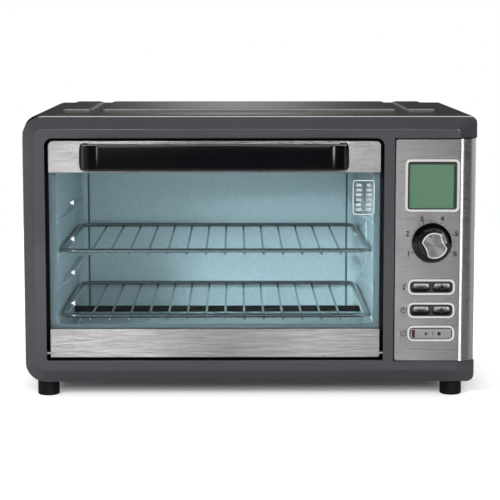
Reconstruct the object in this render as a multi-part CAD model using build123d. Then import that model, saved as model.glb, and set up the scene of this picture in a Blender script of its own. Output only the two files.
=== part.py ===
from build123d import *
import os

# Countertop digital toaster oven. Millimetres. X runs left to right as the user sees
# the oven, +Z is up, and depths are counted backwards from the flat face of the front
# frame. save() then moves every piece so that the origin is the centre of the base.

# ---- Overall sizes ----
body_w = 525.0            # width over the front frame
frame_h = 310.6           # height of the front frame
frame_d = 26.0            # depth of the front frame
cabinet_d = 326.0         # depth of the cabinet behind the frame
foot_h = 20.0             # height of the feet
handle_reach = 38.0       # front of the handle, ahead of the frame's face
gland_reach = 6.0         # cord gland's nose, behind the rear panel
fit = 0.2                 # gap between formed parts that nest in each other
run_fit = 0.05            # radial gap of a shaft in its bearing
screw_fit = 0.3           # radial gap of a screw in its clearance hole

# ---- Front frame ----
frame_wall = 3.0
frame_r_left = 24.0       # outer corner radius at the left
frame_r_right = 9.0       # outer corner radius at the right
bevel_left = 13.0         # width of the sloping border on each side
bevel_right = 21.5
bevel_top = 14.0
bevel_bottom = 15.0
bevel_d = 12.0            # how far the border slopes back
stile_left = 26.5         # frame left of the door opening
rail_bottom = 27.5        # frame below the door opening
rail_top = 24.8           # frame above the door opening
opening_r_top = 9.0
opening_r_bottom = 1.5
mullion_w = 12.3          # frame between the door opening and the control panel
collar_d = 14.0           # depth of the wall round the door opening
boss_bore_d = 6.0         # front end of the frame screws' bores

# ---- Cabinet ----
cabinet_inset = 1.0       # cabinet side, inside the frame's outline
cabinet_rise = 0.8        # cabinet top, above the frame's top
cabinet_r_left = 18.0
cabinet_r_right = 8.0
sheet = 0.9               # steel sheet of the cabinet, base and rear panel
pad_rise = 2.6            # height of the pressed pads in the top
pad_slope = 5.0           # width of a pad's sloping edge
pad_front = 92.0          # pads' front edge, behind the cabinet's front edge
pad_back = 16.0           # pads' rear edge, ahead of the rear panel
pad_side_w = 42.0
pad_edge = 31.5           # side pads, inside the cabinet's sides
pad_gap = 6.0
flange_w = 12.0           # turned-in rear edge of the cabinet
hem_w = 32.0              # cabinet sides, turned in under the base plate
flange_r = 4.0            # inner corners of the rear flange
vent_up = 55.0            # side vents' middle, above the base
vent_rear = 90.0          # side vents' middle, ahead of the rear panel
rear_vent_in = 70.0       # rear vents' middles, from the base and from the top
side_vent = (9.0, 46.0, 4.0)      # pitch, length and width of the slots in each row
base_vent = (14.0, 90.0, 5.0)
rear_vent = (12.0, 60.0, 5.0)
board_vent = (10.0, 90.0, 4.0)
side_vent_count = 12
base_vent_count = 16
rear_vent_count = 18
board_vent_count = 6

# ---- Door ----
door_gap_side = 4.0
door_gap_top = 2.6
door_gap_bottom = 3.5
door_front = 1.0          # door's face, ahead of the frame's face
door_inner_d = 8.0        # inner face of the door's bottom band
band_inner_d = 6.5        # inner face of the door's top band
top_band_h = 37.0
bottom_band_h = 34.0
band_corner_r = 6.0
glass_d = 0.5             # glass's outer face, behind the frame's face
glass_t = 4.0
glass_side = 0.8          # band's end, beyond the glass
glass_seat = 2.2          # top of the band above the glass
glass_foot = 11.0         # glass's lower edge, above the bottom band's lower edge
hinge_d = 5.0             # hinge axis, behind the frame's face
hinge_up = 4.5            # hinge axis, above the door's lower edge
pin_r = 2.0
pin_seat = 10.0           # length of a hinge pin inside the door
bush_r = 3.5
bush_l = 5.0
band_edge_r = 1.0         # the bands' other corners
foot_edge_r = 2.0         # lower corners of the door

# ---- Handle ----
handle_h = 29.4
handle_in = 36.75         # handle's ends, inside the door's sides
handle_t = 9.0
handle_bend_r = 24.0
handle_wall = 12.0        # handle's end, along the door
handle_edge_r = 2.0       # long edges of the bar
handle_drop = 2.6         # top of the handle below the top of the door
trim_w = 1.6              # bright crescent at each end of the handle
trim_t = 2.0
trim_bow = 2.3
handle_screw_in = 6.0     # handle screw, inside the handle's end
handle_bore_d = -14.0     # front end of the screw bores in the handle
handle_tip_d = -12.0      # front end of the handle screws

# ---- Cooking cavity ----
wall = 0.8
cavity_gap_left = 12.0    # cavity walls, inside the door opening
cavity_gap_right = 11.0
cavity_gap_floor = 12.5
cavity_gap_ceiling = 15.8
cavity_gap_rear = 41.2    # cavity's rear wall, ahead of the rear panel
cavity_corner_r = 14.0
plate_edge_x = 20.0       # front plate, beyond the door opening at each side
plate_edge_z = 18.0       # front plate, above and below the door opening
plate_sill = 41.0         # front plate's sill, above the door opening's lower edge
plate_head = 31.0         # front plate's head, below the door opening's upper edge
mouth_r = 3.0             # corners of the oven's mouth
tray_slot_gap = 1.5       # slot for the crumb tray, above the tray
ledge_out = 8.0
ledge_t = 4.0
ledge_pitch = 38.5
ledge_count = 4
ledge_front = 6.0         # ledge's front end, inside the front plate
ledge_rear = 4.0          # ledge's rear end, ahead of the rear wall's corner
bracket_w = 30.0
bracket_in = 30.0         # bracket's ends, inside the cavity's front and rear

# ---- Racks and tray ----
rack_up = 36.0            # lowest rack's frame, above the cavity floor
rack_frame_r = 2.5
rack_wire_r = 1.3
rack_weld = 0.3           # wire, sunk into the rod it is welded to
rack_pitch = 22.6
rack_end_gap = 27.0       # least gap from the side rods to the first and last wires
rack_side_gap = 2.0       # rack to cavity wall
rack_front_gap = 9.5      # rack's front, behind the cavity's front plate
rack_rear_gap = 11.5
rack_corner_r = 16.0
lower_level = 0           # ledges that the two racks stand on
upper_level = 2
tray_side_gap = 9.0
tray_front_gap = 9.0
tray_rear_gap = 11.0
tray_h = 5.0
tray_t = 0.8
tray_lift = 0.3
tray_lip_w = 80.0
tray_lip_l = 5.0

# ---- Heaters, probe and fan ----
heater_r = 4.0
heater_front_in = 75.2    # heaters, behind the cavity's front and ahead of its rear
heater_rear_in = 75.8
heater_low = 11.0         # lower heaters' axis, above the cavity floor
heater_high = 12.0        # upper heaters' axis, below the cavity ceiling
heater_end = 9.0          # heater's end, outside the cavity wall
insulator_r = 8.0
insulator_l = 16.0
probe_r = 2.0
probe_l = 30.0            # probe's length inside the cavity wall
probe_tail = 8.0
probe_collar_r = 5.0
probe_collar_l = 4.0
probe_rear_in = 48.8      # probe, ahead of the cavity's rear and below its ceiling
probe_down = 44.0
fan_back = 12.2           # fan's axis, behind and above the middle of the right wall
fan_up = 3.0
fan_hole_r = 50.0
fan_cover_r = 56.0
fan_cover_t = 1.2
guard_counts = (14, 24)   # slots in each ring of the guard
guard_radii = (22.0, 39.0)
guard_slot_l = 14.0
guard_slot_w = 3.2
housing_r = 54.0
housing_l = 20.0
rotor_r = 43.0
rotor_w = 12.0
rotor_gap = 4.0           # rotor behind the cavity wall
hub_r = 8.0
blade_count = 8
blade_t = 1.0
blade_tilt = 28.0
shaft_r = 2.5
motor_r = 21.0
motor_l = 30.0
motor_bore_end = 2.0      # wall behind the motor's bearing bore
coil_w = 30.0
coil_l = 18.0
coil_drop = 14.0          # coil's lower end, below the round body

# ---- Control panel ----
panel_gap = 0.5           # panel to frame
panel_proud = 1.2         # panel's face, ahead of the frame's face
panel_w = 94.7
panel_bottom = 26.6       # panel's edges, inside the frame's lower and upper edges
panel_top = 25.5
panel_bend_r = 21.5       # the panel's rounded right-hand edge
skin_t = 1.0
carrier_t = 2.5
controls_in = 52.0        # centre line of the controls, inside the panel's right edge
display_up = 75.55        # display's centre, above the panel's middle
display_w = 56.6
display_h = 55.1
display_rim = 3.0
display_r = 3.0
rim_proud = 1.8           # display and button rims, ahead of the panel's face
window_t = 1.5
lcd_t = 8.0
lcd_edge = 2.0            # display module, beyond its window
lcd_foot_in = 10.0        # module's foot on the board, inside its edge
collar_t = 0.8            # wall of a bezel's collar in its opening
board_d = 19.0
board_t = 1.6
board_edge = 5.0

# ---- Knob and buttons ----
knob_up = 9.45            # knob's axis, above the panel's middle
knob_r = 23.2
knob_face_r = 14.8
knob_skirt = 4.0
knob_l = 29.0
knob_gap = 0.7
knob_flats = 22.0         # width of the grip across its two flats
knob_edge = 1.0           # bevel of the knob's edges
knob_shoulder = 4.0       # skirt's sloping shoulder
notch_w = 1.6
notch_l = 5.0
notch_h = 1.2
hub_bore_r = 8.0          # knob's hollow back, over the nut
hub_bore_l = 7.0
nut_r = 6.5
nut_h = 2.0
knob_turn = 24.0          # pointer at rest, in degrees left of straight up
encoder_w = 14.0
encoder_l = 7.0
encoder_floor = 2.0       # wall behind the spindle's bore
spindle_l = 25.0          # spindle's bore in the knob
spindle_r = 3.0
bushing_r = 3.6
row_down = 96.65          # lowest button row, below the panel's middle
row_pitch = 27.2
pill_w = 54.6
pill_h = 18.4
pill_r = 7.0
pill_rim = 2.5
button_w = 20.6
button_h = 10.6
button_r = 4.6
button_step = 24.0        # centre to centre in a row
button_proud = 3.0        # button's face, ahead of the panel's face
button_gap = 0.4
button_travel = 1.2
button_edge_r = 1.2
button_flange = 0.8       # retaining flange, beyond the button
button_flange_t = 1.5
start_r = 2.0
start_w = 47.4
start_h = 12.0
stem_w = 5.0
switch_w = 6.0
switch_h = 4.0
lamp_w = 3.4
lamp_in = 1.6             # lamp's left edge, inside the start button
lamp_margin = 1.4         # lamp's ends, inside the button's top and bottom
lamp_t = 3.0
lamp_r = 0.8

# ---- Electronics, feet and fasteners ----
power_w = 80.0            # power board, its gap to the cabinet's side and to the front
power_l = 120.0
power_in = 11.5
power_front_d = 70.0
standoff_h = 12.0
standoff_r = 3.0
transformer = (40.0, 34.0, 30.0)       # width, depth and height
relay = (19.0, 15.0, 16.0)
capacitor_r = 8.0
capacitor_h = 24.0
part_gap = 8.0            # between the parts on the power board
ribbon_w = 16.0
ribbon_t = 1.0
ribbon_knee = 8.0         # ribbon's first bend, behind the control board
ribbon_up = 22.0          # ribbon on the control board, above the carrier's lower edge
ribbon_in = 5.0           # ribbon on the power board, behind its front edge
foot_r = 12.8
foot_in = 24.0            # foot's axis, inside the body's side
foot_front_d = 40.0
foot_rear = 27.0          # rear feet's axis, ahead of the rear panel
screw_r = 1.7
head_r = 3.5
head_h = 2.0
case_screw_l = 10.0
foot_screw_over = 3.0     # foot screw, above the base plate
foot_chamfer = 1.5
gland_in = 47.5           # gland's axis, inside the cabinet's side and above its base
gland_up = 42.0
gland_r = 7.0
gland_flange_r = 11.0
gland_bore_r = 3.5
gland_inner = 6.0         # gland's tail, inside the rear panel

# ---- Values worked out from the sizes above ----
base_z = foot_h
top_z = base_z + frame_h
rear_d = frame_d + cabinet_d
base_top = base_z + 2 * sheet
overall_front = -handle_reach
overall_rear = rear_d + gland_reach
centre_d = (overall_front + overall_rear) / 2
cab_top = top_z + cabinet_rise
cab_x = (-body_w / 2 + cabinet_inset, body_w / 2 - cabinet_inset)
panel_x = (body_w / 2 - panel_gap - panel_w, body_w / 2 - panel_gap)
panel_z = (base_z + panel_bottom, top_z - panel_top)
panel_mid = (panel_z[0] + panel_z[1]) / 2
open_x = (-body_w / 2 + stile_left, panel_x[0] - panel_gap - mullion_w)
open_z = (base_z + rail_bottom, top_z - rail_top)
door_x = (open_x[0] + door_gap_side, open_x[1] - door_gap_side)
door_z = (open_z[0] + door_gap_bottom, open_z[1] - door_gap_top)
glass_x = (door_x[0] + glass_side, door_x[1] - glass_side)
glass_z = (door_z[0] + glass_foot, door_z[1] - glass_seat)
hinge_z = door_z[0] + hinge_up
handle_x = (door_x[0] + handle_in, door_x[1] - handle_in)
handle_z = (door_z[1] - handle_drop - handle_h, door_z[1] - handle_drop)
handle_screw_x = (handle_x[0] + handle_screw_in, handle_x[1] - handle_screw_in)
handle_screw_z = (handle_z[0] + handle_z[1]) / 2
cavity_x = (open_x[0] + cavity_gap_left, open_x[1] - cavity_gap_right)
cavity_z = (open_z[0] + cavity_gap_floor, open_z[1] - cavity_gap_ceiling)
plate_d = (collar_d, collar_d + wall)
cavity_d = (plate_d[1], rear_d - cavity_gap_rear)
bend_d = cavity_d[1] - cavity_corner_r
heater_zs = {"lower": cavity_z[0] + heater_low, "upper": cavity_z[1] - heater_high}
heater_ds = (cavity_d[0] + heater_front_in, cavity_d[1] - heater_rear_in)
fan_d = (cavity_d[0] + cavity_d[1]) / 2 + fan_back
fan_z = (cavity_z[0] + cavity_z[1]) / 2 + fan_up
probe_d = cavity_d[1] - probe_rear_in
probe_z = cavity_z[1] - probe_down
rack_z = cavity_z[0] + rack_up
controls_x = panel_x[1] - controls_in
display_z = panel_mid + display_up
knob_z = panel_mid + knob_up
row_z = panel_mid - row_down
power_x = (cab_x[1] - power_in - power_w, cab_x[1] - power_in)
power_d = (power_front_d, power_front_d + power_l)
gland_x = cab_x[1] - gland_in
gland_z = base_z + gland_up
carrier_front = -panel_proud + skin_t + fit
carrier_x = (panel_x[0] + skin_t + fit, panel_x[1] - skin_t - fit)
carrier_z = (panel_z[0] + fit, panel_z[1] - fit)
rim_front = -panel_proud - rim_proud
button_front = -panel_proud - button_proud
switch_top = board_d - switch_h
knob_back = -panel_proud - knob_gap
knob_front = knob_back - knob_l
switch_gap = button_travel + fit
row_zs = {"start": row_z, "time": row_z + row_pitch, "temperature": row_z + 2 * row_pitch}
foot_xs = (-body_w / 2 + foot_in, body_w / 2 - foot_in)
foot_ds = (foot_front_d, rear_d - foot_rear)


# ---- Shape helpers ----
def middle(pair):
    return (pair[0] + pair[1]) / 2


def span(pair):
    return pair[1] - pair[0]


def grow(pair, amount):
    """The same range, longer by an amount at each end."""
    return (pair[0] - amount, pair[1] + amount)


def block(x, d, z):
    """A box given by its low and high X, depth and Z."""
    return Pos(middle(x), middle(d), middle(z)) * Box(span(x), span(d), span(z))


def corners(x, z, top_left, top_right, bottom_left, bottom_right):
    """A rectangle whose four corners each have their own radius; 0 leaves one sharp."""
    face = Pos(middle(x), middle(z)) * Rectangle(span(x), span(z))
    marks = {(x[0], z[1]): top_left, (x[1], z[1]): top_right,
             (x[0], z[0]): bottom_left, (x[1], z[0]): bottom_right}
    for (px, pz), radius in marks.items():
        if radius > 0:
            face = fillet(face.vertices().sort_by_distance((px, pz, 0))[0], radius)
    return face


def rounded(x, z, radius):
    """A rectangle with four like corners."""
    return corners(x, z, radius, radius, radius, radius)


def front_plane(d):
    """The plane seen from the front at depth d: its own x is X and its own y is Z."""
    return Plane(origin=(0, d, 0), x_dir=(1, 0, 0), z_dir=(0, -1, 0))


def slab(sketch, d):
    """A front-view sketch made solid from the first depth to the second."""
    return extrude(front_plane(d[1]) * sketch, amount=span(d))


def rod_d(x, z, d, radius):
    """A round bar that runs front to back."""
    return Pos(x, middle(d), z) * Rot(90, 0, 0) * Cylinder(radius, span(d))


def rod_x(x, d, z, radius):
    """A round bar that runs left to right."""
    return Pos(middle(x), d, z) * Rot(0, 90, 0) * Cylinder(radius, span(x))


def rod_z(x, d, z, radius):
    """An upright round bar."""
    return Pos(x, d, middle(z)) * Cylinder(radius, span(z))


def screw_d(x, z, head, tip):
    """A pan-head screw that points forward, with its head seated at depth head."""
    return rod_d(x, z, (head, head + head_h), head_r) + rod_d(x, z, (tip, head), screw_r)


# ---- Front frame and cabinet ----
def frame_body(inset):
    """The frame's outline with its sloping border, smaller all round by inset."""
    outer_x = (-body_w / 2 + inset, body_w / 2 - inset)
    outer_z = (base_z + inset, top_z - inset)
    face_x = (outer_x[0] + bevel_left, outer_x[1] - bevel_right)
    face_z = (outer_z[0] + bevel_bottom, outer_z[1] - bevel_top)
    left = frame_r_left - inset
    right = frame_r_right - inset
    back = corners(outer_x, outer_z, left, right, left, right)
    front = corners(face_x, face_z, left / 2, right / 2, left / 2, right / 2)
    border = loft([front_plane(inset + bevel_d) * back, front_plane(inset) * front], ruled=True)
    return border + slab(back, (inset + bevel_d, frame_d + inset))


def frame_screw_places():
    low = (base_z + open_z[0]) / 2
    high = (open_z[1] + top_z) / 2
    return [(x, z) for x in (open_x[0] + bevel_left, open_x[1] - bevel_left) for z in (low, high)]


def front_frame():
    """Moulded frame: one wall thick, with a deep collar round the door opening."""
    body = frame_body(0) - frame_body(frame_wall)
    opening = corners(open_x, open_z, opening_r_top, opening_r_top,
                      opening_r_bottom, opening_r_bottom)
    collar = corners(grow(open_x, frame_wall), grow(open_z, frame_wall),
                     opening_r_top + frame_wall, opening_r_top + frame_wall,
                     opening_r_bottom + frame_wall, opening_r_bottom + frame_wall)
    body += slab(collar, (0, collar_d))
    solid = frame_body(frame_wall / 2)
    for x, z in frame_screw_places():
        body += rod_d(x, z, (frame_wall / 2, collar_d), head_r + 0.5) & solid
    notch_x = (panel_x[0] - panel_gap, body_w)
    notch_z = grow(panel_z, panel_gap)
    lip_z = grow(notch_z, frame_wall)
    lip = block((notch_x[0] - frame_wall, panel_x[1]), (frame_wall - 1, frame_d), lip_z)
    body += lip & frame_body(0)
    body -= slab(opening, (-1, frame_d))
    body -= block(notch_x, (-1, frame_d + 1), notch_z)
    for x in open_x:
        body -= rod_x(grow((x, x), bush_l), hinge_d, hinge_z, bush_r + run_fit)
    for x, z in frame_screw_places():
        body -= rod_d(x, z, (boss_bore_d, collar_d), screw_r + run_fit)
    return body


def cabinet_outline(inset):
    """Front view of the cabinet, smaller all round by inset."""
    left = cabinet_r_left - inset
    right = cabinet_r_right - inset
    return corners(grow(cab_x, -inset), (base_z + inset, cab_top - inset), left, right, left, right)


def pressed_pad(x, d, base):
    """A pad pressed up out of the top sheet, with sloping edges."""
    low = Pos(middle(x), middle(d)) * RectangleRounded(span(x), span(d), 2 * pad_slope)
    high = Pos(middle(x), middle(d)) * RectangleRounded(span(x) - 2 * pad_slope,
                                                        span(d) - 2 * pad_slope, pad_slope)
    return loft([Pos(0, 0, base) * low, Pos(0, 0, base + pad_rise) * high], ruled=True)


def vent_slots(count, pitch, length, width):
    """A row of upright slots, drawn about its centre."""
    return Sketch() + [Pos((i - (count - 1) / 2) * pitch, 0) * Rot(0, 0, 90)
                       * SlotOverall(length, width) for i in range(count)]


def rear_screw_places():
    """Two low on the side flanges and three along the top one, clear of the corners."""
    x_far = cab_x[1] - flange_w / 2 - sheet
    x_top = x_far - cabinet_r_left
    high = cab_top - flange_w / 2 - sheet
    low = base_z + 2 * flange_w
    return [(-x_far, low), (x_far, low), (-x_top, high), (0, high), (x_top, high)]


def cabinet_shell():
    """The wrap-over steel cabinet: top, sides, pressed pads, rear flange and lower hems."""
    body = slab(cabinet_outline(0), (frame_d, rear_d))
    body -= slab(cabinet_outline(sheet), (frame_d - 1, rear_d + 1))
    body -= block(grow(cab_x, -hem_w), grow((frame_d, rear_d), 1), (base_z - 1, base_top))
    flange = slab(cabinet_outline(sheet), (rear_d - 2 * sheet, rear_d - sheet))
    window = rounded(grow(cab_x, -flange_w), (base_z + flange_w, cab_top - flange_w), flange_r)
    body += flange - slab(window, (rear_d - 3 * sheet, rear_d))
    pad_d = (frame_d + pad_front, rear_d - pad_back)
    far = cab_x[1] - pad_edge
    near = far - pad_side_w
    pads = [grow((0, 0), near - pad_gap), (near, far), (-far, -near)]
    for x in pads:
        body += pressed_pad(x, pad_d, cab_top)
        body -= pressed_pad(x, pad_d, cab_top - sheet)
    vents = Plane.YZ * Pos(rear_d - vent_rear, base_z + vent_up) * vent_slots(side_vent_count, *side_vent)
    body -= extrude(vents, amount=body_w, both=True)
    for x, z in rear_screw_places():
        body -= rod_d(x, z, (rear_d - 3 * sheet, rear_d), screw_r + screw_fit)
    return body - foot_holes()


def foot_holes():
    """The four foot screws' clearance holes, as solids to cut away."""
    return [rod_z(x, d, (base_z - 1, base_top + 1), screw_r + screw_fit)
            for x in foot_xs for d in foot_ds]


def base_plate():
    """Vented plate that lies on the cabinet's hems."""
    x = (cab_x[0] + cabinet_r_left, cab_x[1] - cabinet_r_right)
    body = block(x, (frame_d, rear_d - 2 * sheet), (base_z + sheet, base_top))
    vents = Pos(middle(cavity_x), middle((frame_d, rear_d))) * vent_slots(base_vent_count, *base_vent)
    body -= extrude(Pos(0, 0, base_z) * vents, amount=3 * sheet)
    return body - foot_holes()


def rear_panel():
    body = slab(cabinet_outline(sheet + fit), (rear_d - sheet, rear_d))
    through = grow((rear_d, rear_d), 2 * sheet)
    for z in (base_z + rear_vent_in, top_z - rear_vent_in):
        body -= slab(Pos(middle(cavity_x), z) * vent_slots(rear_vent_count, *rear_vent), through)
    body -= slab(Pos(gland_x, middle((base_z, top_z))) * vent_slots(board_vent_count, *board_vent), through)
    body -= rod_d(gland_x, gland_z, through, gland_r + fit)
    for x, z in rear_screw_places():
        body -= rod_d(x, z, through, screw_r + screw_fit)
    return body


def case_screws():
    """Screws of the rear panel, into the cabinet's turned-in flange."""
    return [screw_d(x, z, rear_d, rear_d - case_screw_l) for x, z in rear_screw_places()]


def cord_gland():
    """Strain-relief gland in the rear panel, with the bore that a supply cord passes."""
    body = rod_d(gland_x, gland_z, (rear_d - gland_inner, rear_d), gland_r)
    body += rod_d(gland_x, gland_z, (rear_d, rear_d + gland_reach / 2), gland_flange_r)
    body += rod_d(gland_x, gland_z, (rear_d, rear_d + gland_reach), gland_r)
    bore = grow((rear_d - gland_inner, rear_d + gland_reach), 1)
    return body - rod_d(gland_x, gland_z, bore, gland_bore_r)


def feet():
    """Four turned feet with a counterbore for the screw."""
    solids = []
    for x in foot_xs:
        for d in foot_ds:
            foot = rod_z(x, d, (0, base_z), foot_r)
            foot = chamfer(foot.edges().group_by(Axis.Z)[0], foot_chamfer)
            foot -= rod_z(x, d, (-1, foot_h / 2), head_r + screw_fit)
            foot -= rod_z(x, d, (0, base_top), screw_r + screw_fit)
            solids.append(foot)
    return solids


def foot_screws():
    low = foot_h / 2
    return [rod_z(x, d, (low - head_h, low), head_r) + rod_z(x, d, (low, base_top + foot_screw_over), screw_r)
            for x in foot_xs for d in foot_ds]


# ---- Cooking cavity ----
def cavity_front_plate():
    """Steel plate behind the frame: the door shuts on it, and the cavity hangs from it."""
    body = block(grow(open_x, plate_edge_x - mullion_w), plate_d, grow(open_z, plate_edge_z))
    mouth_z = (open_z[0] + plate_sill, open_z[1] - plate_head)
    body -= slab(rounded(cavity_x, mouth_z, mouth_r), grow(plate_d, 1))
    tray_x = grow(cavity_x, -tray_side_gap + 1)
    body -= block(tray_x, grow(plate_d, 1), (cavity_z[0], cavity_z[0] + tray_h + tray_slot_gap))
    for x, z in frame_screw_places():
        body -= rod_d(x, z, grow(plate_d, 1), screw_r + screw_fit)
    return body


def frame_screws():
    return [screw_d(x, z, plate_d[1], boss_bore_d) for x, z in frame_screw_places()]


def ledge(side, level):
    """One rack ledge, pressed inwards along a side wall."""
    x = (cavity_x[0], cavity_x[0] + ledge_out) if side < 0 else (cavity_x[1] - ledge_out, cavity_x[1])
    top = rack_z + level * ledge_pitch - rack_frame_r - tray_lift
    body = block(x, (cavity_d[0] + ledge_front, bend_d - ledge_rear), (top - ledge_t, top))
    inner = body.edges().filter_by(Axis.Y).sort_by(Axis.X)
    inner = inner[-2:] if side < 0 else inner[:2]
    return fillet(inner, ledge_t / 2 - 0.3)


def side_wall(side):
    """A cavity side wall with its rack ledges and the heaters' holes."""
    x = (cavity_x[0] - wall, cavity_x[0]) if side < 0 else (cavity_x[1], cavity_x[1] + wall)
    body = block(x, (cavity_d[0], bend_d), grow(cavity_z, wall))
    for level in range(ledge_count):
        body += ledge(side, level)
    for d in heater_ds:
        for z in heater_zs.values():
            body -= rod_x(grow(x, ledge_out + wall), d, z, heater_r + screw_fit)
    return body


def cavity_right_wall():
    """The right wall also carries the fan's opening and the temperature probe."""
    body = side_wall(1)
    x = grow((cavity_x[1] - ledge_out, cavity_x[1] + wall), 2)
    body -= rod_x(x, fan_d, fan_z, fan_cover_r + fit)
    plate = rod_x((cavity_x[1], cavity_x[1] + wall), fan_d, fan_z, fan_cover_r + 2 * fit)
    body += plate - rod_x(x, fan_d, fan_z, fan_hole_r)
    return body - rod_x(x, probe_d, probe_z, probe_r + screw_fit)


def rear_wall_plan(inset):
    """Plan view of the cavity's rear wall, with its two rounded corners."""
    d = (bend_d, cavity_d[1] - inset)
    radius = cavity_corner_r - inset
    return corners(grow(cavity_x, -inset), d, radius, radius, 0, 0)


def cavity_rear_wall():
    outer = Pos(0, 0, cavity_z[0] - wall) * rear_wall_plan(-wall)
    inner = Pos(0, 0, cavity_z[0] - 2 * wall) * rear_wall_plan(0)
    body = extrude(outer, amount=span(cavity_z) + 2 * wall) - extrude(inner, amount=span(cavity_z) + 4 * wall)
    return body


def cavity_plate(z):
    """Floor or ceiling of the cavity, with corners that follow the rear wall."""
    radius = cavity_corner_r - fit
    plan = corners(grow(cavity_x, -fit), (cavity_d[0], cavity_d[1] - fit), radius, radius, 0, 0)
    return extrude(Pos(0, 0, z) * plan, amount=wall)


def cavity_brackets():
    """Two bent channels that carry the cavity floor above the base plate."""
    solids = []
    for x in (middle(cavity_x) - span(cavity_x) / 3, middle(cavity_x) + span(cavity_x) / 3):
        x_range = grow((x, x), bracket_w / 2)
        z = (base_top, cavity_z[0] - wall)
        d = grow(cavity_d, -bracket_in)
        channel = block(x_range, d, z)
        channel -= block(grow(x_range, -1), grow(d, 1), (z[0] - 1, z[1] - 1))
        solids.append(channel)
    return solids


def heating_elements(level):
    """Two sheathed heater rods, front and rear, at one level."""
    x = grow(cavity_x, wall + heater_end)
    return [rod_x(x, d, heater_zs[level], heater_r) for d in heater_ds]


def heater_insulators():
    """Ceramic holders on the rods' ends, outside the cavity walls."""
    solids = []
    for d in heater_ds:
        for z in heater_zs.values():
            for start, way in ((cavity_x[0] - wall, -1), (cavity_x[1] + wall, 1)):
                x = sorted((start, start + way * insulator_l))
                bore = sorted((start - way, start + way * (heater_end + fit)))
                body = rod_x(x, d, z, insulator_r)
                solids.append(body - rod_x(bore, d, z, heater_r + run_fit))
    return solids


def temperature_probe():
    """Sensor rod with the collar that seats it on the right wall."""
    x = cavity_x[1] + wall
    body = rod_x((x - probe_l, x + probe_tail), probe_d, probe_z, probe_r)
    return body + rod_x((x, x + probe_collar_l), probe_d, probe_z, probe_collar_r)


# ---- Convection fan ----
def fan_cover():
    """Slotted round guard, flush with the inside of the right wall."""
    slots = Sketch()
    for count, radius in zip(guard_counts, guard_radii):
        slot = SlotOverall(guard_slot_l, guard_slot_w)
        slots += [loc * slot for loc in PolarLocations(radius, count)]
    face = Circle(fan_cover_r) - slots
    plane = Plane(origin=(cavity_x[1] - fan_cover_t, fan_d, fan_z), x_dir=(0, 1, 0), z_dir=(1, 0, 0))
    return extrude(plane * face, amount=fan_cover_t)


def fan_housing():
    """Pan behind the right wall, in which the fan turns."""
    x = (cavity_x[1] + wall, cavity_x[1] + wall + housing_l)
    body = rod_x(x, fan_d, fan_z, housing_r)
    body -= rod_x((x[0] - 1, x[1] - wall), fan_d, fan_z, housing_r - wall)
    return body - rod_x(grow(x, 2), fan_d, fan_z, shaft_r + 2)


def fan_rotor():
    """Hub with flat blades, each tilted about its own length."""
    x = (cavity_x[1] + wall + rotor_gap, cavity_x[1] + wall + rotor_gap + rotor_w)
    body = rod_x(x, fan_d, fan_z, hub_r)
    root = hub_r / 2
    length = rotor_r - root
    for i in range(blade_count):
        blade = Box(rotor_w - hub_r / 4, blade_t, length)
        blade = Pos(0, 0, root + length / 2) * Rot(0, 0, blade_tilt) * blade
        body += Pos(middle(x), fan_d, fan_z) * Rot(360 / blade_count * i, 0, 0) * blade
    return body - rod_x(grow(x, 1), fan_d, fan_z, shaft_r)


def fan_shaft():
    start = cavity_x[1] + wall + rotor_gap
    end = cavity_x[1] + wall + housing_l + motor_l - motor_bore_end - fit
    return rod_x((start, end), fan_d, fan_z, shaft_r)


def fan_motor():
    """Motor on the back of the fan housing: round body, square coil and bearing bore."""
    x = (cavity_x[1] + wall + housing_l, cavity_x[1] + wall + housing_l + motor_l)
    body = rod_x(x, fan_d, fan_z, motor_r)
    coil_x = grow((middle(x), middle(x)), coil_l / 2)
    body += block(coil_x, grow((fan_d, fan_d), coil_w / 2), (fan_z - motor_r - coil_drop, fan_z))
    return body - rod_x((x[0] - 1, x[1] - motor_bore_end), fan_d, fan_z, shaft_r + run_fit)


# ---- Racks and crumb tray ----
def wire_rack(level):
    """Bent outer rod, with straight wires welded under it at the front and the rear."""
    z = rack_z + level * ledge_pitch
    x = grow(cavity_x, -rack_side_gap - rack_frame_r)
    outer_d = (cavity_d[0] + rack_front_gap, cavity_d[1] - rack_rear_gap)
    d = grow(outer_d, -rack_frame_r)
    path = rounded(x, d, rack_corner_r).wire()
    path = Pos(0, 0, z) * path
    start = Plane(origin=(middle(x), d[0], z), x_dir=(0, 1, 0), z_dir=(1, 0, 0))
    body = sweep(start * Circle(rack_frame_r), path=path)
    gaps = int((span(x) - 2 * rack_end_gap) / rack_pitch)
    low = z - rack_frame_r - rack_wire_r + rack_weld
    for i in range(gaps + 1):
        body += rod_d(middle(x) + (i - gaps / 2) * rack_pitch, low, outer_d, rack_wire_r)
    return body


def crumb_tray():
    """Shallow tray under the lower heaters, with a low rim and a lip to pull it by."""
    x = grow(cavity_x, -tray_side_gap)
    d = (cavity_d[0] + tray_front_gap, cavity_d[1] - tray_rear_gap)
    z = (cavity_z[0] + tray_lift, cavity_z[0] + tray_lift + tray_h)
    body = block(x, d, z)
    body -= block(grow(x, -tray_t), grow(d, -tray_t), (z[0] + tray_t, z[1] + 1))
    lip_x = grow((middle(x), middle(x)), tray_lip_w / 2)
    return body + block(lip_x, (d[0] - tray_lip_l, d[0]), (z[0], z[0] + tray_t))


# ---- Door ----
def door_glass():
    body = block(glass_x, (glass_d, glass_d + glass_t), glass_z)
    for x in handle_screw_x:
        body -= rod_d(x, handle_screw_z, (0, 2 * glass_t), screw_r + 3 * screw_fit)
    return body


def glass_pocket():
    """The glass with its fitting gap, cut out of both door bands."""
    return block(grow(glass_x, fit), grow((glass_d, glass_d + glass_t), fit), grow(glass_z, fit))


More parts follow.
